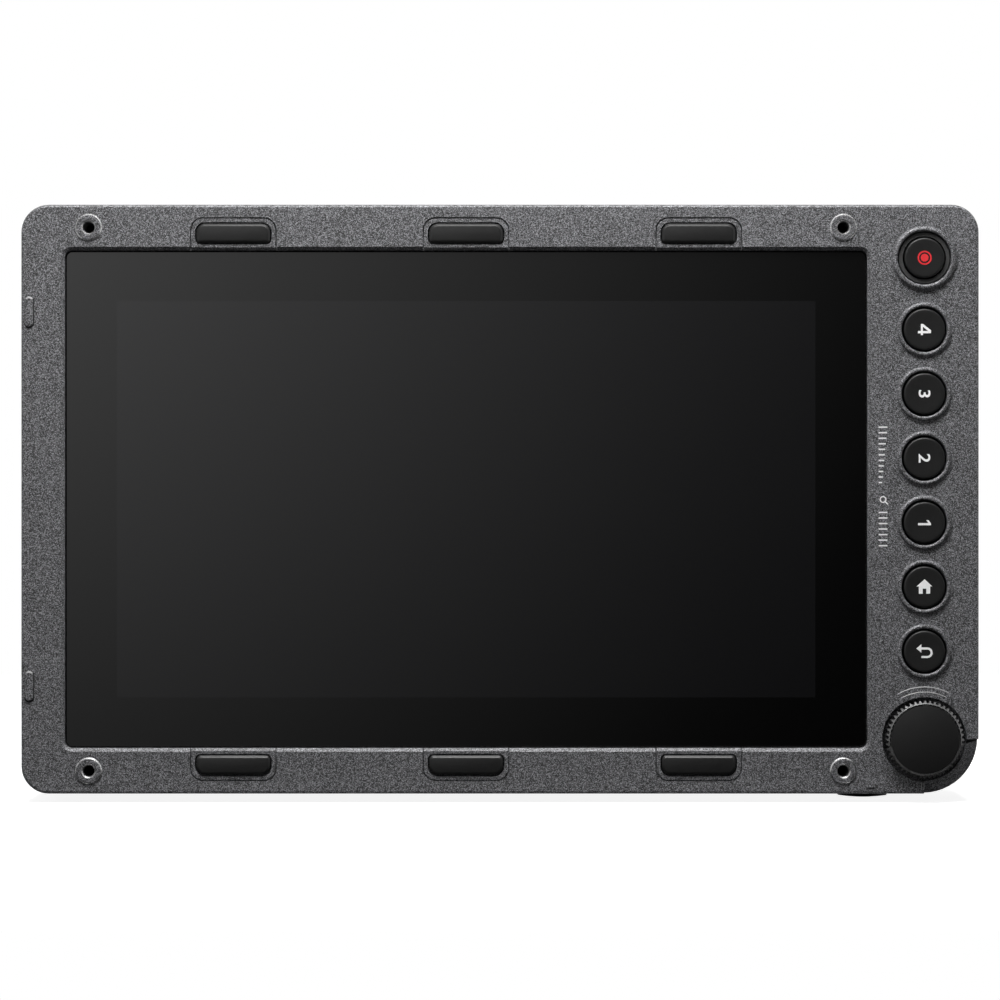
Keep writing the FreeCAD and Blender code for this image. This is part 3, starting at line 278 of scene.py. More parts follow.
def thicken(piece: Piece, thickness: float) -> Piece:
    """Gives an open skin a thickness.

    Args:
        piece: the skin.
        thickness: how thick it gets, half of it on each side.

    Returns:
        The piece.
    """
    skin = piece.modifiers.new("skin", "SOLIDIFY")
    skin.thickness = thickness
    skin.offset = 0.0
    hold(piece)
    bpy.ops.object.modifier_apply(modifier=skin.name)
    return piece


def face_outwards() -> None:
    """Turns all faces of the piece in edit mode outwards."""
    bpy.ops.mesh.select_all(action="SELECT")
    bpy.ops.mesh.normals_make_consistent(inside=False)


def copy_of(piece: Piece, name: str, move: Matrix) -> Piece:
    """A copy of a piece with a mesh of its own, moved in the mesh.

    Args:
        piece: what is copied.
        name: the copy's name.
        move: how the copy's mesh is moved.

    Returns:
        The copy, linked to the scene.
    """
    copy = piece.copy()
    copy.data = piece.data.copy()
    copy.name = name
    copy.data.name = name
    copy.data.transform(move)
    bpy.context.scene.collection.objects.link(copy)
    return copy


def join(pieces: Sequence[Piece]) -> Piece:
    """Joins pieces into the first of them.

    Args:
        pieces: what is joined.

    Returns:
        The first piece.
    """
    hold(*pieces)
    bpy.ops.object.join()
    return pieces[0]


def repeat(piece: Piece, moves: Sequence[Matrix]) -> Piece:
    """Joins a piece with copies of itself.

    Args:
        piece: what is repeated.
        moves: how each copy's mesh is moved.

    Returns:
        The piece, with its copies in its mesh.
    """
    copies = [copy_of(piece, f"{piece.name}_{number}", move) for number, move in enumerate(moves)]
    return join([piece, *copies])


def turn_about(axis: str, angle: float, centre: Vector) -> Matrix:
    """A turn about an axis through a centre."""
    return Matrix.Translation(centre) @ Matrix.Rotation(angle, 4, axis) @ Matrix.Translation(-centre)


def middle_of(node: str) -> Vector:
    """The middle of a solid's front face."""
    low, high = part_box(node)
    return Vector(((low.x + high.x) / 2, low.y, (low.z + high.z) / 2))


# Finishes
class NodeBench:
    """Builds one procedural material, node by node."""

    def __init__(self, name: str) -> None:
        """Starts a material with its shader and the object's own coordinates.

        Args:
            name: the material's name.
        """
        self.material = bpy.data.materials.new(name)
        self.material.use_nodes = True
        self.tree = self.material.node_tree
        self.shader = self.tree.nodes["Principled BSDF"]
        self.place = self.add("ShaderNodeTexCoord").outputs["Object"]

    def feed(self, end: Socket, value: Socket | float | Sequence[float]) -> None:
        """Links a socket to another one, or sets it to a constant.

        Args:
            end: the socket that takes the value.
            value: a socket to link, or a constant.
        """
        if isinstance(value, bpy.types.NodeSocket):
            self.tree.links.new(value, end)
        else:
            end.default_value = value

    def add(self, kind: str, values: Inputs | None = None) -> bpy.types.Node:
        """Adds a node.

        Args:
            kind: Blender's name for it.
            values: what its inputs are linked or set to, by their names.

        Returns:
            The node.
        """
        node = self.tree.nodes.new(kind)
        for name, value in (values or {}).items():
            self.feed(node.inputs[name], value)
        return node

    def into(self, name: str, value: Socket | float | Sequence[float]) -> None:
        """Sets or links one of the shader's sockets."""
        self.feed(self.shader.inputs[name], value)

    def scaled(self, grain: Sequence[float]) -> Socket:
        """The object's own coordinates, counted in grains along X, Y and Z."""
        scale = [1.0 / length for length in grain]
        return self.add("ShaderNodeMapping", {"Vector": self.place, "Scale": scale}).outputs["Vector"]

    def noise(self, grain: Sequence[float], detail: float = 2.0) -> Socket:
        """A noise pattern.

        Args:
            grain: the size of its grain along X, Y and Z.
            detail: how many finer layers it has.

        Returns:
            The pattern's value.
        """
        layers = {"Scale": 1.0, "Detail": detail, "Roughness": 0.5}
        return self.add("ShaderNodeTexNoise", {"Vector": self.scaled(grain), **layers}).outputs["Fac"]

    def flakes(self, grain: Sequence[float]) -> Socket:
        """A pattern of small flakes, each with a chance value.

        Args:
            grain: the size of a flake along X, Y and Z.

        Returns:
            The pattern's value, spread evenly from 0 to 1.
        """
        texture = self.add("ShaderNodeTexVoronoi", {"Vector": self.scaled(grain), "Scale": 1.0})
        return self.add("ShaderNodeSeparateColor", {"Color": texture.outputs["Color"]}).outputs["Red"]

    def ramp(self, value: Socket, low: Tone, high: Tone, start: float = PATTERN_LOW,
             end: float = PATTERN_HIGH) -> Socket:
        """Turns a value into a colour between two tones.

        Args:
            value: the pattern.
            low: the tone at and under start.
            high: the tone at and over end.
            start: where the change starts.
            end: where it ends.

        Returns:
            The colour.
        """
        ramp = self.add("ShaderNodeValToRGB", {"Fac": value})
        for element, position, tone in zip(ramp.color_ramp.elements, (start, end), (low, high)):
            element.position = position
            element.color = (*tone, 1.0)
        return ramp.outputs["Color"]

    def ranged(self, value: Socket, low: float, high: float) -> Socket:
        """Maps the middle of a pattern's range to two numbers."""
        limits = {"From Min": PATTERN_LOW, "From Max": PATTERN_HIGH, "To Min": low, "To Max": high}
        return self.add("ShaderNodeMapRange", {"Value": value, **limits}).outputs["Result"]

    def math(self, operation: str, *values: Socket | float) -> Socket:
        """One sum.

        Args:
            operation: Blender's name for it.
            values: what goes into it, sockets or numbers.

        Returns:
            The result.
        """
        node = self.add("ShaderNodeMath")
        node.operation = operation
        for end, value in zip(node.inputs, values):
            self.feed(end, value)
        return node.outputs["Value"]

    def bump(self, height: Socket, depth: float) -> None:
        """Gives the shader a relief of a given depth."""
        relief = self.add("ShaderNodeBump", {"Height": height, "Distance": depth})
        self.into("Normal", relief.outputs["Normal"])

    def along(self, axis: str) -> Socket:
        """One of the object's own coordinates."""
        return self.add("ShaderNodeSeparateXYZ", {"Vector": self.place}).outputs[axis]


def even(length: float) -> tuple[float, float, float]:
    """A grain of one size in every direction."""
    return (length, length, length)


def grey(level: float) -> Tone:
    """A neutral tone."""
    return (level, level, level)


@dataclass(frozen=True)
class Finish:
    """A plain surface: two tones mixed by a grain, with a gloss and a relief that follow it."""

    dark: Tone
    light: Tone
    grain: tuple[float, float, float]
    roughness: float
    play: float = 0.06
    metallic: float = 0.0
    relief: float = 0.0
    shine: float = 0.5

    def roughen(self, bench: NodeBench, pattern: Socket) -> None:
        """Lets the roughness follow a pattern."""
        bench.into("Roughness", bench.ranged(pattern, self.roughness - self.play, self.roughness + self.play))

    def material(self, name: str) -> bpy.types.Material:
        """Builds the finish as a material.

        Args:
            name: the material's name.

        Returns:
            The material.
        """
        bench = NodeBench(name)
        pattern = bench.noise(self.grain)
        bench.into("Base Color", bench.ramp(pattern, self.dark, self.light))
        self.roughen(bench, pattern)
        bench.into("Metallic", self.metallic)
        bench.into("Specular IOR Level", self.shine)
        if self.relief:
            bench.bump(pattern, self.relief)
        return bench.material


@dataclass(frozen=True)
class PowderCoat(Finish):
    """A speckled metallic powder coat: fine bright flakes on a slightly mottled ground."""

    mottle: float = 6.0 * MM
    mottle_share: float = 0.06
    sparse: float = 2.4
    ground: float = 0.03

    def material(self, name: str) -> bpy.types.Material:
        """Builds the finish as a material, smoother where its fine grain is high.

        Args:
            name: the material's name.

        Returns:
            The material.
        """
        bench = NodeBench(name)
        speckle = bench.noise(self.grain, 1.0)
        bright = bench.math("POWER", bench.flakes(self.grain), self.sparse)
        mixed = bench.math("MULTIPLY_ADD", bench.noise(even(self.mottle)), self.mottle_share, bright)
        bench.into("Base Color", bench.ramp(mixed, self.dark, self.light, self.ground, 1.0))
        bench.into("Roughness", bench.ranged(speckle, self.roughness + self.play, self.roughness - self.play))
        bench.into("Metallic", self.metallic)
        bench.bump(speckle, self.relief)
        return bench.material


@dataclass(frozen=True)
class ScreenGlass(Finish):
    """Dark cover glass, a touch lighter where the display shows behind it."""

    middle: tuple[float, float] = SCREEN_MIDDLE
    half: tuple[float, float] = (55.6 * MM, 31.55 * MM)
    refraction: float = 1.5

    def material(self, name: str) -> bpy.types.Material:
        """Builds the finish as a material.

        Args:
            name: the material's name.

        Returns:
            The material.
        """
        bench = NodeBench(name)
        across, up = (bench.math("COMPARE", bench.along(axis), middle, half)
                      for axis, middle, half in zip("XZ", self.middle, self.half))
        inside = bench.math("MULTIPLY", across, up)
        bench.into("Base Color", bench.ramp(inside, self.dark, self.light, 0.0, 1.0))
        self.roughen(bench, bench.noise(self.grain, 4.0))
        bench.into("IOR", self.refraction)
        return bench.material


@dataclass(frozen=True)
class CircuitMask(Finish):
    """Solder mask with rows of copper tracks showing faintly through it."""

    track: float = 1.6 * MM
    length_share: float = 6.0
    gap_share: float = 0.12

    def material(self, name: str) -> bpy.types.Material:
        """Builds the finish as a material.

        Args:
            name: the material's name.

        Returns:
            The material.
        """
        bench = NodeBench(name)
        mapping = bench.add("ShaderNodeMapping", {"Vector": bench.place, "Rotation": (math.pi / 2, 0.0, 0.0)})
        tracks = bench.add("ShaderNodeTexBrick", {
            "Vector": mapping.outputs["Vector"], "Scale": 1.0, "Brick Width": self.track * self.length_share,
            "Row Height": self.track, "Mortar Size": self.track * self.gap_share}).outputs["Fac"]
        bench.into("Base Color", bench.ramp(tracks, self.dark, self.light, 0.2, 0.8))
        self.roughen(bench, bench.noise(self.grain))
        bench.bump(tracks, self.relief)
        return bench.material


class Paint(Enum):
    """The finishes of the record's material slots, of the printing, of bare edges and of painted highlights
    on edges.
    """

    frame_coat = PowderCoat(grey(0.012), (0.315, 0.315, 0.333), even(0.108 * MM), roughness=0.5, play=0.1,
                            metallic=0.25, relief=0.03 * MM)
    cover_coat = PowderCoat(grey(0.008), (0.18, 0.18, 0.19), even(0.108 * MM), roughness=0.52, play=0.1,
                            metallic=0.25, relief=0.03 * MM)
    glass = ScreenGlass(grey(0.0016), (0.0052, 0.0052, 0.0056), even(14 * MM), roughness=0.07, play=0.02)
    key_plastic = Finish(grey(0.005), grey(0.008), even(0.12 * MM), roughness=0.42, relief=0.006 * MM,
                         shine=0.3)
    ring_plastic = Finish(grey(0.03), grey(0.042), even(0.3 * MM), roughness=0.38, play=0.05,
                          relief=0.004 * MM, shine=0.4)
    pad_rubber = Finish(grey(0.005), grey(0.009), even(0.2 * MM), roughness=0.4, play=0.08,
                        relief=0.004 * MM, shine=0.34)
    seal_rubber = Finish(grey(0.01), grey(0.016), even(0.3 * MM), roughness=0.7, play=0.08, relief=0.01 * MM)
    dial_metal = Finish(grey(0.09), grey(0.13), (0.4 * MM, 0.05 * MM, 0.4 * MM), roughness=0.32, play=0.08,
                        metallic=0.5, relief=0.003 * MM)
    dial_cap = Finish(grey(0.007), grey(0.01), even(0.14 * MM), roughness=0.5, relief=0.006 * MM, shine=0.2)
    screw_steel = Finish(grey(0.2), grey(0.3), (0.5 * MM, 0.1 * MM, 0.5 * MM), roughness=0.34, play=0.1,
                         metallic=1.0, relief=0.004 * MM)
    insert_steel = Finish(grey(0.16), grey(0.24), (0.5 * MM, 0.5 * MM, 0.08 * MM), roughness=0.42, play=0.08,
                          metallic=1.0, relief=0.002 * MM)
    socket_steel = Finish(grey(0.4), grey(0.52), (2.0 * MM, 0.12 * MM, 0.3 * MM), roughness=0.3, play=0.08,
                          metallic=1.0, relief=0.003 * MM)
    sheet_metal = Finish(grey(0.45), grey(0.6), (8.0 * MM, 0.2 * MM, 0.12 * MM), roughness=0.36, play=0.1,
                         metallic=1.0, relief=0.003 * MM)
    tape = Finish(grey(0.008), grey(0.014), even(0.3 * MM), roughness=0.8, play=0.05, relief=0.02 * MM)
    panel = Finish((0.01, 0.011, 0.014), (0.014, 0.015, 0.019), even(4.0 * MM), roughness=0.2, play=0.05)
    acrylic = Finish((0.72, 0.75, 0.76), (0.8, 0.82, 0.82), even(3.0 * MM), roughness=0.12, play=0.04)
    ribbon = Finish((0.24, 0.1, 0.02), (0.36, 0.17, 0.04), (9.0 * MM, 9.0 * MM, 0.5 * MM), roughness=0.35)
    circuit_board = CircuitMask((0.008, 0.05, 0.028), (0.02, 0.09, 0.05), even(1.0 * MM), roughness=0.4,
                                relief=0.02 * MM)
    chip = Finish(grey(0.012), grey(0.02), even(0.2 * MM), roughness=0.55, relief=0.01 * MM)
    thermal_pad = Finish((0.2, 0.22, 0.26), (0.28, 0.3, 0.34), even(0.6 * MM), roughness=0.75,
                         relief=0.02 * MM)
    switch = Finish(grey(0.02), grey(0.032), even(0.3 * MM), roughness=0.5, relief=0.006 * MM)
    white_print = Finish(grey(0.72), grey(0.8), even(0.15 * MM), roughness=0.5)
    red_print = Finish((0.5, 0.012, 0.018), (0.62, 0.02, 0.026), even(0.15 * MM), roughness=0.45)
    bare_edge = Finish(grey(0.42), grey(0.56), even(0.2 * MM), roughness=0.28, metallic=1.0,
                       relief=0.002 * MM)
    # The next two are light paints for painted highlights on the edges of the ribs and of the dial guard.
    painted_edge_highlight = Finish(grey(0.24), grey(0.34), even(0.2 * MM), roughness=0.5)
    painted_rim_highlight = Finish(grey(0.17), grey(0.24), even(0.2 * MM), roughness=0.5)
    gold_contact = Finish((0.62, 0.42, 0.16), (0.74, 0.52, 0.22), (2.0 * MM, 0.2 * MM, 0.2 * MM),
                          roughness=0.28, metallic=1.0)

    def material(self) -> bpy.types.Material:
        """The finish's material, built at its first use."""
        name = f"coat_{self.name}"
        return bpy.data.materials.get(name) or self.value.material(name)


def dress(piece: Piece, body: str, paint: Paint, stands_for: Sequence[str] = (),
          angle: float = 32.0) -> Piece:
    """Finishes a piece: smooth shading, its material, the body that carries it and the solids it shows.

    Args:
        piece: the finished mesh.
        body: the body that it moves with.
        paint: its finish.
        stands_for: the solids that it replaces.
        angle: the angle in degrees over which an edge stays sharp.

    Returns:
        The piece.
    """
    hold(piece)
    bpy.ops.object.shade_smooth_by_angle(angle=math.radians(angle))
    piece.data.materials.clear()
    piece.data.materials.append(paint.material())
    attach(piece, body)
    if stands_for:
        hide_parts(*stands_for)
    log.info("%s rides on %s in %s, %d faces", piece.name, body, paint.name, len(piece.data.polygons))
    return piece


# Sub-assemblies
@dataclass
class RubberPads:
    """Six rubber pads in the two long borders, rounder at their outer corners."""

    outer_radius: float = 1.35 * MM
    inner_radius: float = 0.65 * MM
    edge: float = 0.36 * MM
    crease: float = 0.05 * MM
    seat: float = -15.0 * MM
    stem_radius: float = 0.7 * MM
    stem_spread: float = 7.2 * MM
    stem_sides: int = 24
    first: str = "pad_top_left"
    others: tuple[str, ...] = ("pad_top_middle", "pad_top_right", "pad_bottom_left", "pad_bottom_middle",
                               "pad_bottom_right")

    def mould(self) -> Piece:
        """Models the first pad with its bevelled edge and two stems.

        Returns:
            The pad.
        """
        low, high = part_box(self.first)
        pad = block("rubber_top_left", low, Vector((high.x, self.seat, high.z)))
        with editing(pad):
            pick(pad, Part.EDGE, along_depth(high.z))
            round_edges(self.outer_radius, 6)
            pick(pad, Part.EDGE, along_depth(low.z))
            round_edges(self.inner_radius, 5)
            pick(pad, Part.EDGE, at_depth(low.y))
            round_edges(self.edge, 1)
            pick(pad, Part.EDGE, at_depth(low.y))
            round_edges(self.crease, 2)
        middle = middle_of(self.first)
        stems = []
        for side in (-1, 1):
            root = Vector((middle.x + side * self.stem_spread / 2, self.seat, middle.z))
            stem = drum("pad_stem", root, self.stem_radius, high.y, self.stem_sides)
            with editing(stem):
                pick(stem, Part.EDGE, at_depth(high.y))
                round_edges(self.stem_radius / 3, 2)
            stems.append(stem)
        return join([pad, *stems])

    def build(self) -> None:
        """Models one pad, copies it to the other places and dresses all six."""
        first = self.mould()
        start = middle_of(self.first)
        for node in self.others:
            move = Matrix.Translation(middle_of(node) - start)
            if "bottom" in node:
                move = move @ turn_about("Y", math.pi, start)
            copy = copy_of(first, node.replace("pad", "rubber"), move)
            dress(copy, "housing", Paint.pad_rubber, [node])
        dress(first, "housing", Paint.pad_rubber, [self.first])


class Sign(Enum):
    """What is printed on a key."""

    FOUR = "4"
    THREE = "3"
    TWO = "2"
    ONE = "1"
    RECORD = "record"
    HOUSE = "house"
    RETURN = "return"


@dataclass
class Printing:
    """Thin printed signs on the keys and beside them. Outlines, rings and bars are in millimetres."""

    thickness: float = 0.015 * MM
    numeral: float = 2.58 * MM
    widening: float = 1.2
    weight: float = 0.03 * MM
    lift: float = 0.004 * MM
    ring_sides: int = 40
    one: Outline = ((0.06, -1.03), (0.42, -1.03), (0.42, 1.03), (0.14, 1.03), (-0.4, 0.62), (-0.4, 0.28),
                    (0.06, 0.6))
    four: Outline = ((0.25, -1.03), (0.62, -1.03), (0.62, -0.58), (0.9, -0.58), (0.9, -0.25), (0.62, -0.25),
                     (0.62, 1.03), (0.14, 1.03), (-0.85, -0.22), (-0.85, -0.58), (0.249, -0.58),
                     (0.249, -0.25), (-0.42, -0.25), (0.25, 0.56), (0.25, -0.25), (0.25, -0.58))
    house: Outline = ((-1.25, 0.1), (0.0, 1.25), (1.25, 0.1), (0.9, 0.1), (0.9, -1.05), (0.28, -1.05),
                      (0.28, -0.25), (-0.28, -0.25), (-0.28, -1.05), (-0.9, -1.05), (-0.9, 0.1))
    arrow_head: Outline = ((-1.3, 0.48), (-0.5, 1.15), (-0.5, 0.65))
    arrow_tail: Outline = ((-0.5, -1.05), (-0.5, -0.7))
    arrow_barb: Outline = ((-0.5, 0.3), (-0.5, -0.2))
    bend_middle: tuple[float, float] = (0.45, -0.2)
    bend_radii: tuple[float, float] = (0.85, 0.5)
    bend_steps: int = 8
    record_dot: float = 0.62
    record_ring: tuple[float, float] = (1.12, 0.88)
    lens_ring: tuple[float, float] = (0.55, 0.37)
    lens_handle: Outline = ((0.32, -0.46), (0.46, -0.32), (0.85, -0.71), (0.71, -0.85))
    bar_length: float = 1.4
    bar_half: float = 0.11
    bar_pitch: float = 0.88
    bar_counts: tuple[int, int] = (11, 7)
    scale_taper: float = 0.6
    marks_x: float = 60.9 * MM
    mark_heights: tuple[float, float, float] = (53.9 * MM, 46.8 * MM, 42.1 * MM)

    def cut_out(self, name: str, outline: Outline) -> Piece:
        """A flat sign from its outline.

        Args:
            name: the sign's name.
            outline: its corners across and up, in millimetres.

        Returns:
            The sign, centred on the origin and facing forwards.
        """
        hold()
        bpy.ops.mesh.primitive_circle_add(vertices=len(outline), radius=MM, fill_type="NGON",
                                          rotation=(math.pi / 2, 0, 0))
        sign = named(name)
        with editing(sign):
            mesh = bmesh.from_edit_mesh(sign.data)
            for vertex, (across, up) in zip(mesh.verts, outline):
                vertex.co = (across * MM, 0.0, up * MM)
            bmesh.update_edit_mesh(sign.data)
            bpy.ops.mesh.select_all(action="SELECT")
            extrude((0.0, -self.thickness, 0.0))
            face_outwards()
        return sign

    def ring(self, name: str, outer: float, inner: float = 0.0) -> Piece:
        """A flat ring, or a dot where the inner radius is zero.

        Args:
            name: the sign's name.
            outer: its outer radius, in millimetres.
            inner: its inner radius, in millimetres.

        Returns:
            The sign, centred on the origin and facing forwards.
        """
        sign = drum(name, Vector((0.0, -self.thickness, 0.0)), outer * MM, 0.0, self.ring_sides)
        if inner:
            with editing(sign):
                pick(sign, Part.FACE, at_depth(0.0, -self.thickness))
                bpy.ops.mesh.inset(thickness=(outer - inner) * MM)
                bpy.ops.mesh.bridge_edge_loops()
        return sign

    def number(self, text: str) -> Piece:
        """A plain numeral that reads from the right, as on the keys.

        Args:
            text: the numeral.

        Returns:
            The numeral, centred on the origin and facing forwards.
        """
        hold()
        bpy.ops.object.text_add()
        letter = bpy.context.active_object
        letter.data.body = text
        letter.data.size = self.numeral
        letter.data.offset = self.weight
        letter.data.extrude = self.thickness / 2
        bpy.ops.object.convert(target="MESH")
        sign = named(f"numeral_{text}")
        sign.data.transform(Matrix.Rotation(math.pi / 2, 4, "Y") @ Matrix.Rotation(math.pi / 2, 4, "X")
                            @ Matrix.Scale(self.widening, 4, (1.0, 0.0, 0.0)))
        corners = [vertex.co for vertex in sign.data.vertices]
        low = Vector(min(corner[i] for corner in corners) for i in range(3))
        high = Vector(max(corner[i] for corner in corners) for i in range(3))
        centre = (low + high) / 2
        sign.data.transform(Matrix.Translation((-centre.x, -high.y, -centre.z)))
        return sign

    def bend(self, radius: float) -> list[tuple[float, float]]:
        """Points round the return arrow's bend, from its top to its foot.

        Args:
            radius: the bend's radius, in millimetres.

        Returns:
            The points, across and up.
        """
        across, up = self.bend_middle
        angles = [math.pi * (0.5 - step / self.bend_steps) for step in range(self.bend_steps + 1)]
        return [(across + radius * math.cos(angle), up + radius * math.sin(angle)) for angle in angles]

    def draw(self, sign: Sign) -> list[Piece]:
        """Draws a key's sign.

        Args:
            sign: which one.

        Returns:
            Its parts, centred on the origin and facing forwards.
        """
        if sign is Sign.RECORD:
            return [self.ring("record_dot", self.record_dot), self.ring("record_ring", *self.record_ring)]
        if sign is Sign.HOUSE:
            return [self.cut_out("house", self.house)]
        if sign is Sign.RETURN:
            outer, inner = (self.bend(radius) for radius in self.bend_radii)
            arrow = [*self.arrow_head, *outer, *self.arrow_tail, *reversed(inner), *self.arrow_barb]
            return [self.cut_out("return_arrow", arrow)]
        if sign in (Sign.ONE, Sign.FOUR):
            upright = self.one if sign is Sign.ONE else self.four
            return [self.cut_out(f"numeral_{sign.value}", [(up, -across) for across, up in upright])]
        return [self.number(sign.value)]

    def put(self, sign: Piece, place: Vector, body: str, paint: Paint) -> None:
        """Lays a sign on a surface.

        Args:
            sign: the sign, centred on the origin.
            place: the point on the surface under its middle.
            body: the body that it moves with.
            paint: its finish.
        """
        sign.data.transform(Matrix.Translation(place - Vector((0.0, self.lift, 0.0))))
        dress(sign, body, paint)

    def build_side_marks(self) -> None:
        """Prints plain marks beside the lower keys: a graded scale, and a lens over a short scale."""
        graded, plain = self.bar_counts
        scale = self.scale_bars("scale_mark", graded, self.scale_taper)
        lens = join([self.ring("lens_mark", *self.lens_ring), self.cut_out("lens_handle", self.lens_handle)])
        short = self.scale_bars("short_scale_mark", plain)
        for mark, height in zip((scale, lens, short), self.mark_heights):
            self.put(mark, Vector((self.marks_x, FRAME_FACE, height)), "housing", Paint.white_print)

    def scale_bars(self, name: str, count: int, taper: float = 0.0) -> Piece:
        """A column of thin bars.

        Args:
            name: the sign's name.
            count: how many bars it has.
            taper: the share of its length that the lowest bar lacks.

        Returns:
            The bars, centred on the origin and facing forwards.
        """
        bars = []
        for number in range(count):
            up = self.bar_pitch * ((count - 1) / 2 - number)
            left = -self.bar_length / 2
            right = left + self.bar_length * (1.0 - taper * number / (count - 1))
            low, high = up - self.bar_half, up + self.bar_half
            outline = [(left, low), (right, low), (right, high), (left, high)]
            bars.append(self.cut_out(f"{name}_{number}", outline))
        scale = join(bars)
        scale.name = name
        return scale


@dataclass
class KeyCap:
    """A round moulded key: rounded rim, shallow dish, flange and stem."""

    node: str
    sign: Sign
    radius: float = 3.3 * MM
    rounding: float = 0.3 * MM
    dish: float = 0.03 * MM
    dish_rim: float = 0.45 * MM
    flange_front: float = -13.25 * MM
    flange_back: float = -12.45 * MM
    stem_radius: float = 1.2 * MM

    def mould(self) -> Piece:
        """Models the key from a drum.

        Returns:
            The key.
        """
        low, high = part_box(self.node)
        middle = middle_of(self.node)
        flange_radius = (high.x - low.x) / 2
        cap = drum(f"cap_{self.node}", middle, self.radius, self.flange_front)
        with editing(cap):
            pick(cap, Part.EDGE, at_depth(low.y))
            round_edges(self.rounding, 5)
            pick(cap, Part.FACE, at_depth(low.y))
            bpy.ops.mesh.inset(thickness=self.dish_rim, depth=-self.dish)
            pick(cap, Part.FACE, at_depth(self.flange_front))
            extrude((0.0, 0.0, 0.0))
            spread(flange_radius / self.radius, middle)
            extrude((0.0, self.flange_back - self.flange_front, 0.0))
            extrude((0.0, 0.0, 0.0))
            spread(self.stem_radius / flange_radius, middle)
            extrude((0.0, high.y - self.flange_back, 0.0))
        return cap

    def build(self, printing: Printing) -> None:
        """Models the key, dresses it and prints its sign.

        Args:
            printing: what draws the sign.
        """
        dress(self.mould(), self.node, Paint.key_plastic, [self.node])
        surface = middle_of(self.node) + Vector((0.0, self.dish, 0.0))
        paint = Paint.red_print if self.sign is Sign.RECORD else Paint.white_print
        for part in printing.draw(self.sign):
            printing.put(part, surface, self.node, paint)


@dataclass
class Dial:
    """The knurled push dial: a bevelled hub ringed with teeth, and a satin disc let into its top."""

    root_radius: float = 5.8 * MM
    tip_radius: float = 6.15 * MM
    disc_radius: float = 5.38 * MM
    disc_gap: float = 0.06 * MM
    bevel: float = 0.5 * MM
    tooth_width: float = 0.66 * MM
    tip_share: float = 0.3
    teeth: int = 48
    disc_edge: float = 0.05 * MM
    sharp_angle: float = 20.0
    hub_sides: int = 144
    disc_sides: int = 120

    def tooth(self) -> Piece:
        """Models one tooth over the dial's top, with its corner bevelled off.

        Returns:
            The tooth.
        """
        low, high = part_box("dial_knob")
        centre = middle_of("dial_knob")
        half = self.tooth_width / 2
        foot = Vector((centre.x - half, low.y, centre.z + self.root_radius - half))
        tip = Vector((centre.x + half, high.y, centre.z + self.tip_radius))
        tooth = block("dial_tooth", foot, tip)
        with editing(tooth):
            pick(tooth, Part.FACE, at_height(tip.z))
            bpy.ops.transform.resize(value=(self.tip_share, 1.0, 1.0),
                                     center_override=(centre.x, low.y, tip.z))
            bpy.ops.mesh.select_all(action="SELECT")
            bpy.ops.mesh.bisect(plane_co=(centre.x, low.y + self.bevel, tip.z), plane_no=(0.0, -1.0, 1.0),
                                use_fill=True, clear_outer=True)
        return tooth

    def hub(self) -> Piece:
        """Models the round hub with its bevelled rim and the recess for the disc.

        Returns:
            The hub.
        """
        low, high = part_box("dial_knob")
        centre = middle_of("dial_knob")
        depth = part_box("dial_cap")[1].y - low.y
        slope = self.root_radius - (self.tip_radius - self.bevel)
        hub = drum("dial_grip", centre, self.root_radius, high.y, self.hub_sides)
        with editing(hub):
            pick(hub, Part.EDGE, at_depth(low.y))
            round_edges(slope, 1)
            pick(hub, Part.FACE, at_depth(low.y))
            rim = self.root_radius - slope - self.disc_radius - self.disc_gap
            bpy.ops.mesh.inset(thickness=rim)
            extrude((0.0, depth, 0.0))
        return hub

    def build(self) -> None:
        """Models hub, teeth and disc and dresses them."""
        centre = middle_of("dial_knob")
        turns = [turn_about("Y", math.tau * number / self.teeth, centre) for number in range(1, self.teeth)]
        teeth = repeat(self.tooth(), turns)
        grip = join([self.hub(), teeth])
        dress(grip, "dial", Paint.dial_metal, ["dial_knob"], self.sharp_angle)
        low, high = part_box("dial_cap")
        disc = drum("dial_disc", middle_of("dial_cap"), self.disc_radius, high.y, self.disc_sides)
        with editing(disc):
            pick(disc, Part.EDGE, at_depth(low.y))
            round_edges(self.disc_edge, 2)
        dress(disc, "dial", Paint.dial_cap, ["dial_cap"])


@dataclass
class HoodRims:
    """The bright turned edges of the four hood holes: one round each boss and one in each mouth."""

    middle: Vector = Vector((SCREEN_MIDDLE[0], -16.8 * MM, SCREEN_MIDDLE[1]))
    spacing: tuple[float, float] = (120.0 * MM, 86.45 * MM)
    boss_radius: float = 2.15 * MM
    mouth_radius: float = 0.95 * MM
    bevel: float = 0.2 * MM
    thickness: float = 0.012 * MM

    def build(self) -> None:
        """Models both rings once, copies them to the four holes and dresses the set."""
        rings = [thicken(open_cone(name, self.middle, front, back, self.bevel), self.thickness)
                 for name, front, back in (("hood_rims", self.boss_radius - self.bevel, self.boss_radius),
                                           ("hood_mouth", self.mouth_radius + self.bevel, self.mouth_radius))]
        across, up = self.spacing
        moves = [Matrix.Translation((across * right, 0.0, up * top))
                 for right, top in ((1, 0), (0, 1), (1, 1))]
        rims = repeat(join(rings), moves)
        rims.data.transform(Matrix.Translation((-across / 2, 0.0, -up / 2)))
        dress(rims, "housing", Paint.bare_edge)


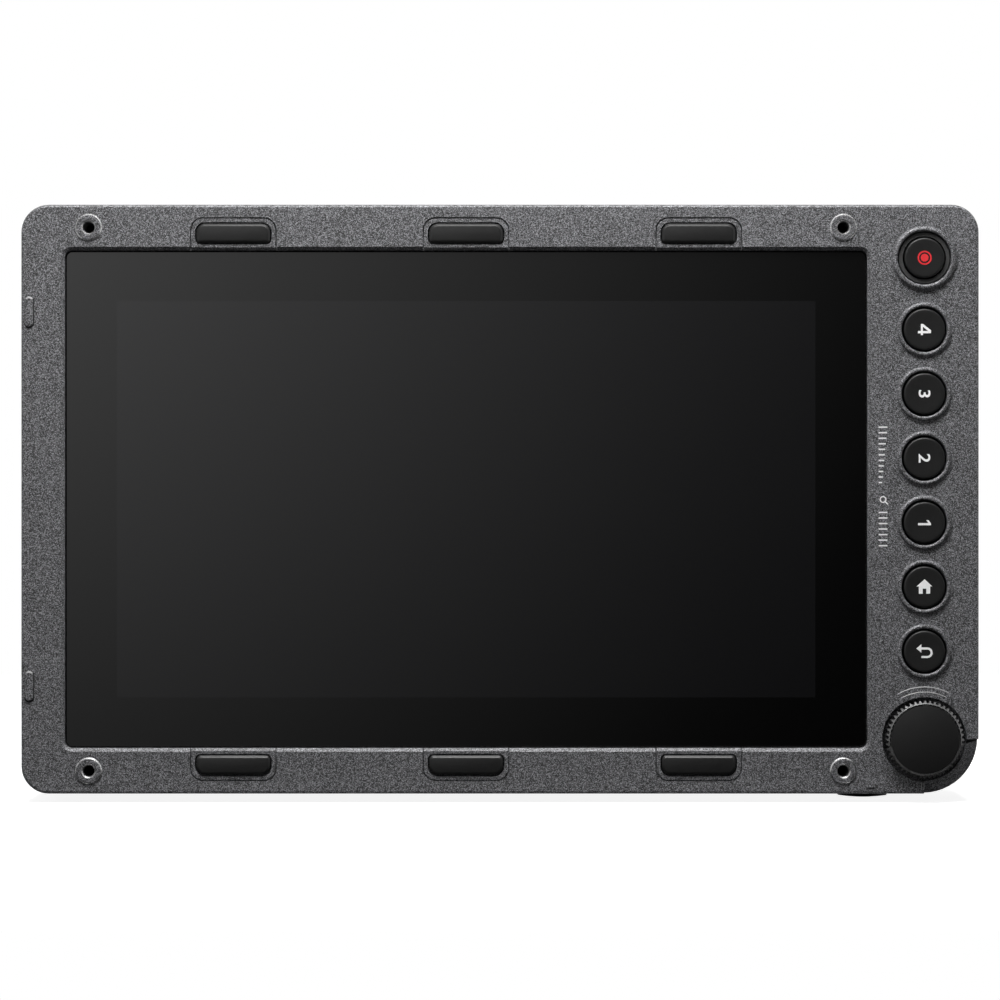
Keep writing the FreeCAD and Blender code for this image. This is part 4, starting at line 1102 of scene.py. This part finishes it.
@dataclass
class MarkerRibLightAndShade:
    """Painted shade along the right side and lower end of the two ribs at the left edge, and painted
    highlights on their upper ends.
    """

    x: float = -74.85 * MM
    height: float = 0.4 * MM
    radius: float = 0.64 * MM
    reach: float = 1.72 * MM
    foot: float = 0.18 * MM
    rise: float = 0.1 * MM
    edge: float = 0.3 * MM
    proud: float = 0.09 * MM
    thickness: float = 0.012 * MM

    def band(self, name: str, radii: tuple[float, float], depths: tuple[float, float], wanted: Test) -> Piece:
        """Models a thin band along a part of a rib's outline.

        Args:
            name: the band's name.
            radii: the radius of the rib's round ends at the band's front and back.
            depths: where its front and back lie.
            wanted: a test for the faces that stay.

        Returns:
            The band of a rib at height 0.
        """
        band = open_cone(name, Vector((self.x, depths[0], 0.0)), *radii, depths[1] - depths[0])
        with editing(band):
            for side in (1.0, -1.0):
                pick(band, Part.VERTEX, lambda corners: corners[0].z * side > NEAR)
                bpy.ops.transform.translate(value=(0.0, 0.0, self.reach * side))
            pick(band, Part.FACE, lambda corners: not wanted(corners))
            bpy.ops.mesh.delete(type="FACE")
        return thicken(band, self.thickness)

    def build(self, heights: Sequence[float]) -> None:
        """Models both bands once, copies them to each rib and dresses them: the foot band black as painted
        shade, the upper ends light as painted highlights.

        Args:
            heights: where the middles of the ribs lie.
        """
        top, outer = FRAME_FACE - self.height - self.proud, self.radius + self.proud
        # The foot band is painted shade: black on the rib's right side and lower end, where its shadow falls.
        line = self.band("marker_rib_painted_shade", (self.radius, self.radius + self.foot),
                         (FRAME_FACE - self.rise, FRAME_FACE),
                         lambda corners: max(corner.x for corner in corners) > self.x + self.radius / 2
                         or max(corner.z for corner in corners) < -self.reach)
        # The end band is a painted highlight: light paint on the rib's upper end, where the light from above
        # falls.
        end = self.band("marker_rib_painted_highlights", (outer - self.edge, outer), (top, top + self.edge),
                        lambda corners: min(corner.z for corner in corners) > self.reach + self.radius / 3)
        moves = [Matrix.Translation((0.0, 0.0, height - heights[0])) for height in heights[1:]]
        for piece, paint in ((line, Paint.key_plastic), (end, Paint.painted_rim_highlight)):
            ribs = repeat(piece, moves)
            ribs.data.transform(Matrix.Translation((0.0, 0.0, heights[0])))
            dress(ribs, "housing", paint)


@dataclass
class GuardHighlights:
    """Painted highlights on the upper edges of the two steps of the guard over the dial."""

    middle: Vector = Vector((67.45 * MM, FRAME_FACE, 8.7 * MM))
    bevel: float = 0.12 * MM
    proud: float = 0.02 * MM
    thickness: float = 0.012 * MM
    sides: int = 240

    def arc(self, name: str, radius: float, width: float, height: float) -> Piece:
        """Models the painted highlight on the upper edge of one step.

        Args:
            name: the edge's name.
            radius: the radius of the step's round top.
            width: how wide the step is.
            height: how far it stands out of the frame's face.

        Returns:
            The edge.
        """
        outer, half = radius + self.proud, width / 2 - self.bevel
        front = self.middle - Vector((0.0, height + self.proud, 0.0))
        arc = open_cone(name, front, outer - self.bevel, outer, self.bevel, self.sides)
        with editing(arc):
            pick(arc, Part.FACE, lambda corners: min(corner.z for corner in corners) < self.middle.z
                 or max(abs(corner.x - self.middle.x) for corner in corners) > half)
            bpy.ops.mesh.delete(type="FACE")
        return thicken(arc, self.thickness)

    def build(self) -> None:
        """Models the painted highlights on the upper edges of both steps and dresses them."""
        inner = self.arc("guard_painted_highlights", radius=7.55 * MM, width=7.4 * MM, height=0.6 * MM)
        outer = self.arc("guard_outer_painted_highlight", radius=8.35 * MM, width=8.6 * MM, height=0.3 * MM)
        # A lighter paint on the upper halves only: painted highlights where the light from above falls.
        dress(join([inner, outer]), "housing", Paint.painted_rim_highlight)


@dataclass
class ThumbRibHighlights:
    """Painted highlights: two light strips on the edges of the small rib beside the thumb recess."""

    left: float = 66.96 * MM
    spread: float = 0.4 * MM
    width: float = 0.09 * MM
    ends: tuple[float, float] = (0.64 * MM, 1.86 * MM)
    front: float = -16.765 * MM
    back: float = -16.7 * MM

    def build(self) -> None:
        """Models one highlight strip, copies it to the rib's other side and dresses the pair in a light
        paint.
        """
        low, high = self.ends
        edge = block("thumb_rib_painted_highlights", Vector((self.left, self.front, low)),
                     Vector((self.left + self.width, self.back, high)))
        with editing(edge):
            pick(edge, Part.EDGE, at_depth(self.front))
            round_edges(self.width / 3, 2)
        pair = repeat(edge, [Matrix.Translation((self.spread, 0.0, 0.0))])
        # Both strips are painted highlights: light paint where the rib's edges catch the light.
        dress(pair, "housing", Paint.painted_edge_highlight)


@dataclass
class ThumbShadeWedge:
    """A black wedge under the step at the upper end of the thumb recess: painted shade standing in for the
    step's shadow.
    """

    low: Vector = Vector((74.2 * MM, -16.3 * MM, 7.93 * MM))
    high: Vector = Vector((75.95 * MM, -15.5 * MM, 8.68 * MM))
    fall: float = 1.42 * MM
    taper: float = 0.4 * MM
    edge: float = 0.04 * MM

    def build(self) -> None:
        """Models the wedge, sloped to the front and thinner towards the side, and dresses it in black as
        painted shade.
        """
        wedge = block("thumb_painted_shade_wedge", self.low, self.high)
        front, foot = at_depth(self.low.y), at_height(self.low.z)
        with editing(wedge):
            pick(wedge, Part.EDGE, lambda corners: front(corners) and foot(corners))
            bpy.ops.transform.translate(value=(0.0, self.high.y - self.low.y, 0.0))
            bpy.ops.mesh.select_all(action="SELECT")
            bpy.ops.mesh.remove_doubles(threshold=NEAR)
            for at, move in ((at_depth(self.high.y), (0.0, self.fall, 0.0)), (foot, (0.0, 0.0, self.taper))):
                pick(wedge, Part.VERTEX, lambda corners: at(corners) and corners[0].x > self.high.x - NEAR)
                bpy.ops.transform.translate(value=move)
            pick(wedge, Part.EDGE, front)
            round_edges(self.edge, 2)
        # The wedge is painted shade: black plastic where the step casts its shadow.
        dress(wedge, "housing", Paint.key_plastic)


@dataclass
class ThreadTurns:
    """The turns of a thread inside an insert's bore."""

    radius: float
    crest: float
    pitch: float
    turns: int
    steps: int = 40
    half_share: float = 0.42
    start_share: float = 0.6

    def build(self, name: str, mouth: Vector, along: Vector) -> None:
        """Winds the thread inwards from the mouth of a bore.

        Args:
            name: the piece's name.
            mouth: the middle of the bore's mouth.
            along: the direction from the mouth into the bore.
        """
        half = self.pitch * self.half_share
        hold()
        bpy.ops.mesh.primitive_circle_add(vertices=4, radius=half, rotation=(math.pi / 2, 0, 0))
        thread = named(name)
        with editing(thread):
            bpy.ops.mesh.select_all(action="SELECT")
            bpy.ops.transform.resize(value=((self.radius - self.crest) / half, 1.0, 1.0),
                                     center_override=(0.0, 0.0, 0.0))
            bpy.ops.transform.translate(value=(self.radius, 0.0, self.pitch * self.start_share))
        wound = thread.modifiers.new("turns", "SCREW")
        wound.axis = "Z"
        wound.screw_offset = self.pitch
        wound.iterations = self.turns
        wound.steps = self.steps
        wound.render_steps = self.steps
        hold(thread)
        bpy.ops.object.modifier_apply(modifier=wound.name)
        with editing(thread):
            bpy.ops.mesh.select_all(action="SELECT")
            bpy.ops.mesh.remove_doubles(threshold=NEAR)
            bpy.ops.mesh.fill_holes(sides=4)
            face_outwards()
        turned = along.to_track_quat("Z", "Y").to_matrix().to_4x4()
        thread.data.transform(Matrix.Translation(mouth) @ turned)
        dress(thread, "housing", Paint.insert_steel)


@dataclass
class SocketContacts:
    """The dark moulded tongue of a socket with rows of gilt contact strips."""

    name: str
    middle: Vector
    tongue: float
    blade: float
    width: float
    count: int
    tip: float = -74.283 * MM
    root: float = -70.95 * MM
    skin: float = 0.05 * MM
    length: float = 2.4 * MM
    strip: float = 0.36 * MM
    thickness: float = 0.05 * MM
    edge_share: float = 0.4

    def mould_tongue(self) -> None:
        """Models the moulding over the tongue, with its edges broken."""
        reach = Vector((0.0, self.tongue / 2 + self.skin, self.blade / 2 + self.skin))
        tip = Vector((self.tip - self.skin, self.middle.y, self.middle.z))
        tongue = block(f"{self.name}_tongue", tip - reach, Vector((self.root, tip.y, tip.z)) + reach)
        with editing(tongue):
            pick(tongue, Part.EDGE, lambda corners: all(abs(corner.x - tip.x) < NEAR for corner in corners))
            round_edges(self.skin, 2)
        dress(tongue, "housing", Paint.switch)

    def build(self) -> None:
        """Models the tongue and one strip, copies the strip along both faces and dresses the set."""
        self.mould_tongue()
        pitch = self.width / self.count
        half = Vector((self.length / 2, self.thickness / 2, self.strip / 2))
        rise = (self.tongue + self.thickness) / 2 + self.skin
        start = self.middle + Vector((0.0, -rise, (pitch - self.width) / 2))
        first = block(self.name, start - half, start + half)
        with editing(first):
            pick(first, Part.EDGE, at_depth(start.y - half.y))
            round_edges(self.thickness * self.edge_share, 2)
        moves = [Matrix.Translation((0.0, 0.0, pitch * number)) for number in range(1, self.count)]
        row = repeat(first, moves)
        both = repeat(row, [turn_about("Z", math.pi, self.middle)])
        dress(both, "housing", Paint.gold_contact)


@dataclass
class Studio:
    """The camera, the pale floor and the soft light round the monitor."""

    distance: float = 0.70
    view_width: float = 159.0 * MM
    aim: Vector = Vector((0.0, FRAME_FACE, 46.72 * MM))
    sensor: float = 36.0
    clip: tuple[float, float] = (0.01, 20.0)
    air: tuple[float, float] = (0.07, 1.0)
    floor_reach: tuple[float, float, float] = (0.6, -19 * MM, 0.5)
    floor_thickness: float = 20 * MM
    floor_gap: float = 0.01 * MM
    floor_edge: float = 0.5 * MM
    floor_tone: float = 0.7
    floor_glow: float = 0.88
    card_size: float = 2.4
    card_middle: Vector = Vector((0.0, -0.95, 0.2))
    card_glow: float = 2.8
    glow_middle: Vector = Vector((-0.3, -0.95, 0.28))
    glow_radius: float = 0.55
    flag_size: tuple[float, float] = (0.3, 0.08)
    flag_y: float = -20 * MM
    flag_gap: float = 0.005 * MM
    flag_tone: float = 0.01
    matt: float = 0.9

    def place_camera(self) -> None:
        """Sets a long lens square to the screen."""
        data = bpy.data.cameras.new("front_view")
        data.sensor_width = self.sensor
        data.lens = self.sensor * self.distance / self.view_width
        data.clip_start, data.clip_end = self.clip
        camera = bpy.data.objects.new("front_view", data)
        camera.location = self.aim - Vector((0.0, self.distance, 0.0))
        camera.rotation_euler = (math.pi / 2, 0.0, 0.0)
        bpy.context.scene.collection.objects.link(camera)
        bpy.context.scene.camera = camera

    def add_lamp(self, name: str, place: Vector, size: tuple[float, float], power: float) -> None:
        """Adds a soft box aimed at the monitor.

        Args:
            name: the lamp's name.
            place: where it hangs.
            size: its width and height.
            power: its power in watts.
        """
        data = bpy.data.lights.new(name, "AREA")
        data.shape = "RECTANGLE"
        data.size, data.size_y = size
        data.energy = power
        lamp = bpy.data.objects.new(name, data)
        lamp.location = place
        lamp.rotation_euler = (self.aim - place).to_track_quat("-Z", "Y").to_euler()
        bpy.context.scene.collection.objects.link(lamp)

    def background(self, tree: bpy.types.NodeTree) -> Socket:
        """Tells the rays that see the background directly, in gloss or through glass.

        Args:
            tree: the material's or the world's nodes.

        Returns:
            A value that is 1 for these rays.
        """
        path = tree.nodes.new("ShaderNodeLightPath")
        total = path.outputs["Is Camera Ray"]
        for name in ("Is Glossy Ray", "Is Transmission Ray"):
            node = tree.nodes.new("ShaderNodeMath")
            node.operation = "MAXIMUM"
            tree.links.new(total, node.inputs[0])
            tree.links.new(path.outputs[name], node.inputs[1])
            total = node.outputs["Value"]
        return total

    def set_world(self) -> None:
        """A white surround that lights the monitor softly."""
        world = bpy.data.worlds.new("studio_air")
        world.use_nodes = True
        tree = world.node_tree
        surround = tree.nodes["Background"]
        surround.inputs["Color"].default_value = WHITE
        strength = tree.nodes.new("ShaderNodeMapRange")
        for name, value in zip(("To Min", "To Max"), self.air):
            strength.inputs[name].default_value = value
        tree.links.new(self.background(tree), strength.inputs["Value"])
        tree.links.new(strength.outputs["Result"], surround.inputs["Strength"])
        bpy.context.scene.world = world

    def lay_floor(self) -> None:
        """A white table top under the monitor that still takes its shadow."""
        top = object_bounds()[0].z - self.floor_gap
        side, front, back = self.floor_reach
        foot = top - self.floor_thickness
        floor = block("studio_floor", Vector((-side, front, foot)), Vector((side, back, top)))
        with editing(floor):
            pick(floor, Part.EDGE, at_height(top))
            round_edges(self.floor_edge, 2)
        bench = NodeBench("studio_floor")
        bench.into("Base Color", (*grey(self.floor_tone), 1.0))
        bench.into("Roughness", self.matt)
        bench.into("Specular IOR Level", 0.0)
        bench.into("Emission Color", WHITE)
        bench.into("Emission Strength", bench.math("MULTIPLY", self.background(bench.tree), self.floor_glow))
        floor.data.materials.append(bench.material)
        floor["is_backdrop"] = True

    def show_in_gloss(self, piece: Piece, material: bpy.types.Material) -> None:
        """Paints a piece of the studio that shows only in mirrored light.

        Args:
            piece: the card or sheet.
            material: its material.
        """
        piece.data.materials.append(material)
        piece.visible_camera = False
        piece.visible_shadow = False
        piece.visible_diffuse = False
        piece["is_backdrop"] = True

    def hang_card(self) -> None:
        """A dark card behind the camera with a soft glow at its upper left, for the glass to mirror."""
        hold()
        bpy.ops.mesh.primitive_plane_add(size=self.card_size, location=self.card_middle,
                                         rotation=(math.pi / 2, 0.0, 0.0))
        card = named("fading_card")
        bench = NodeBench("fading_card")
        mapping = bench.add("ShaderNodeMapping", {"Vector": bench.place, "Location": self.glow_middle,
                                                  "Scale": even(self.glow_radius)})
        mapping.vector_type = "TEXTURE"
        glow = bench.add("ShaderNodeTexGradient", {"Vector": mapping.outputs["Vector"]})
        glow.gradient_type = "QUADRATIC_SPHERE"
        tone = bench.ramp(glow.outputs["Fac"], grey(0.0), grey(self.card_glow), 0.0, 1.0)
        emission = bench.add("ShaderNodeEmission", {"Color": tone}).outputs["Emission"]
        bench.feed(bench.tree.nodes["Material Output"].inputs["Surface"], emission)
        self.show_in_gloss(card, bench.material)

    def lay_flag(self) -> None:
        """A dark sheet on the table under the monitor's front, for its lower edges to mirror."""
        hold()
        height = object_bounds()[0].z - self.flag_gap
        bpy.ops.mesh.primitive_plane_add(size=1.0, location=(0.0, self.flag_y, height))
        bpy.context.active_object.scale = (*self.flag_size, 1.0)
        flag = named("dark_flag")
        bench = NodeBench("dark_flag")
        bench.into("Base Color", (*grey(self.flag_tone), 1.0))
        bench.into("Roughness", self.matt)
        self.show_in_gloss(flag, bench.material)

    def build(self) -> None:
        """Sets up the whole studio."""
        self.place_camera()
        self.set_world()
        self.lay_floor()
        self.hang_card()
        self.lay_flag()
        self.add_lamp("top_box", Vector((0.0, -0.16, 0.33)), size=(0.24, 0.12), power=2.15)
        self.add_lamp("front_box", Vector((-0.5, -0.8, 0.5)), size=(0.6, 0.6), power=0.75)
        bpy.context.scene.view_settings.view_transform = "Standard"


def paint_solids() -> None:
    """Gives every solid the finish of its slot."""
    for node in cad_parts.values():
        for slot in node.material_slots:
            slot.material = Paint[slot.material.name.split(".")[0]].material()
    log.info("%d solids painted", len(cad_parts))


def main() -> None:
    """Builds every sub-assembly in order."""
    logging.basicConfig(level=logging.INFO, format="%(name)s: %(message)s")
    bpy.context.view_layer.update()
    paint_solids()
    RubberPads().build()
    printing = Printing()
    KeyCap("rec_button", Sign.RECORD, radius=3.2 * MM).build(printing)
    for node, sign in (("button_4", Sign.FOUR), ("button_3", Sign.THREE), ("button_2", Sign.TWO),
                       ("button_1", Sign.ONE), ("home_button", Sign.HOUSE), ("back_button", Sign.RETURN)):
        KeyCap(node, sign).build(printing)
    printing.build_side_marks()
    Dial().build()
    HoodRims().build()
    video, usb = (middle_of(node).z for node in ("video_socket", "usb_socket"))
    MarkerRibLightAndShade().build([video, usb])
    GuardHighlights().build()
    ThumbRibHighlights().build()
    ThumbShadeWedge().build()
    tripod = ThreadTurns(radius=2.76 * MM, crest=2.58 * MM, pitch=1.27 * MM, turns=5)
    tripod.build("base_thread", Vector((0.0, 0.0, 0.0)), Vector((0.0, 0.0, 1.0)))
    tripod.build("top_thread", Vector((0.0, 0.0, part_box("top_insert")[1].z)), Vector((0.0, 0.0, -1.0)))
    contacts_x = -72.8 * MM
    SocketContacts("video_contacts", Vector((contacts_x, -0.5 * MM, video)), tongue=1.6 * MM, blade=10.2 * MM,
                   width=9.6 * MM, count=10).build()
    SocketContacts("usb_contacts", Vector((contacts_x, -1.9 * MM, usb)), tongue=0.7 * MM, blade=4.2 * MM,
                   width=3.9 * MM, count=6, strip=0.3 * MM).build()
    Studio().build()


if __name__ == "__main__":
    main()
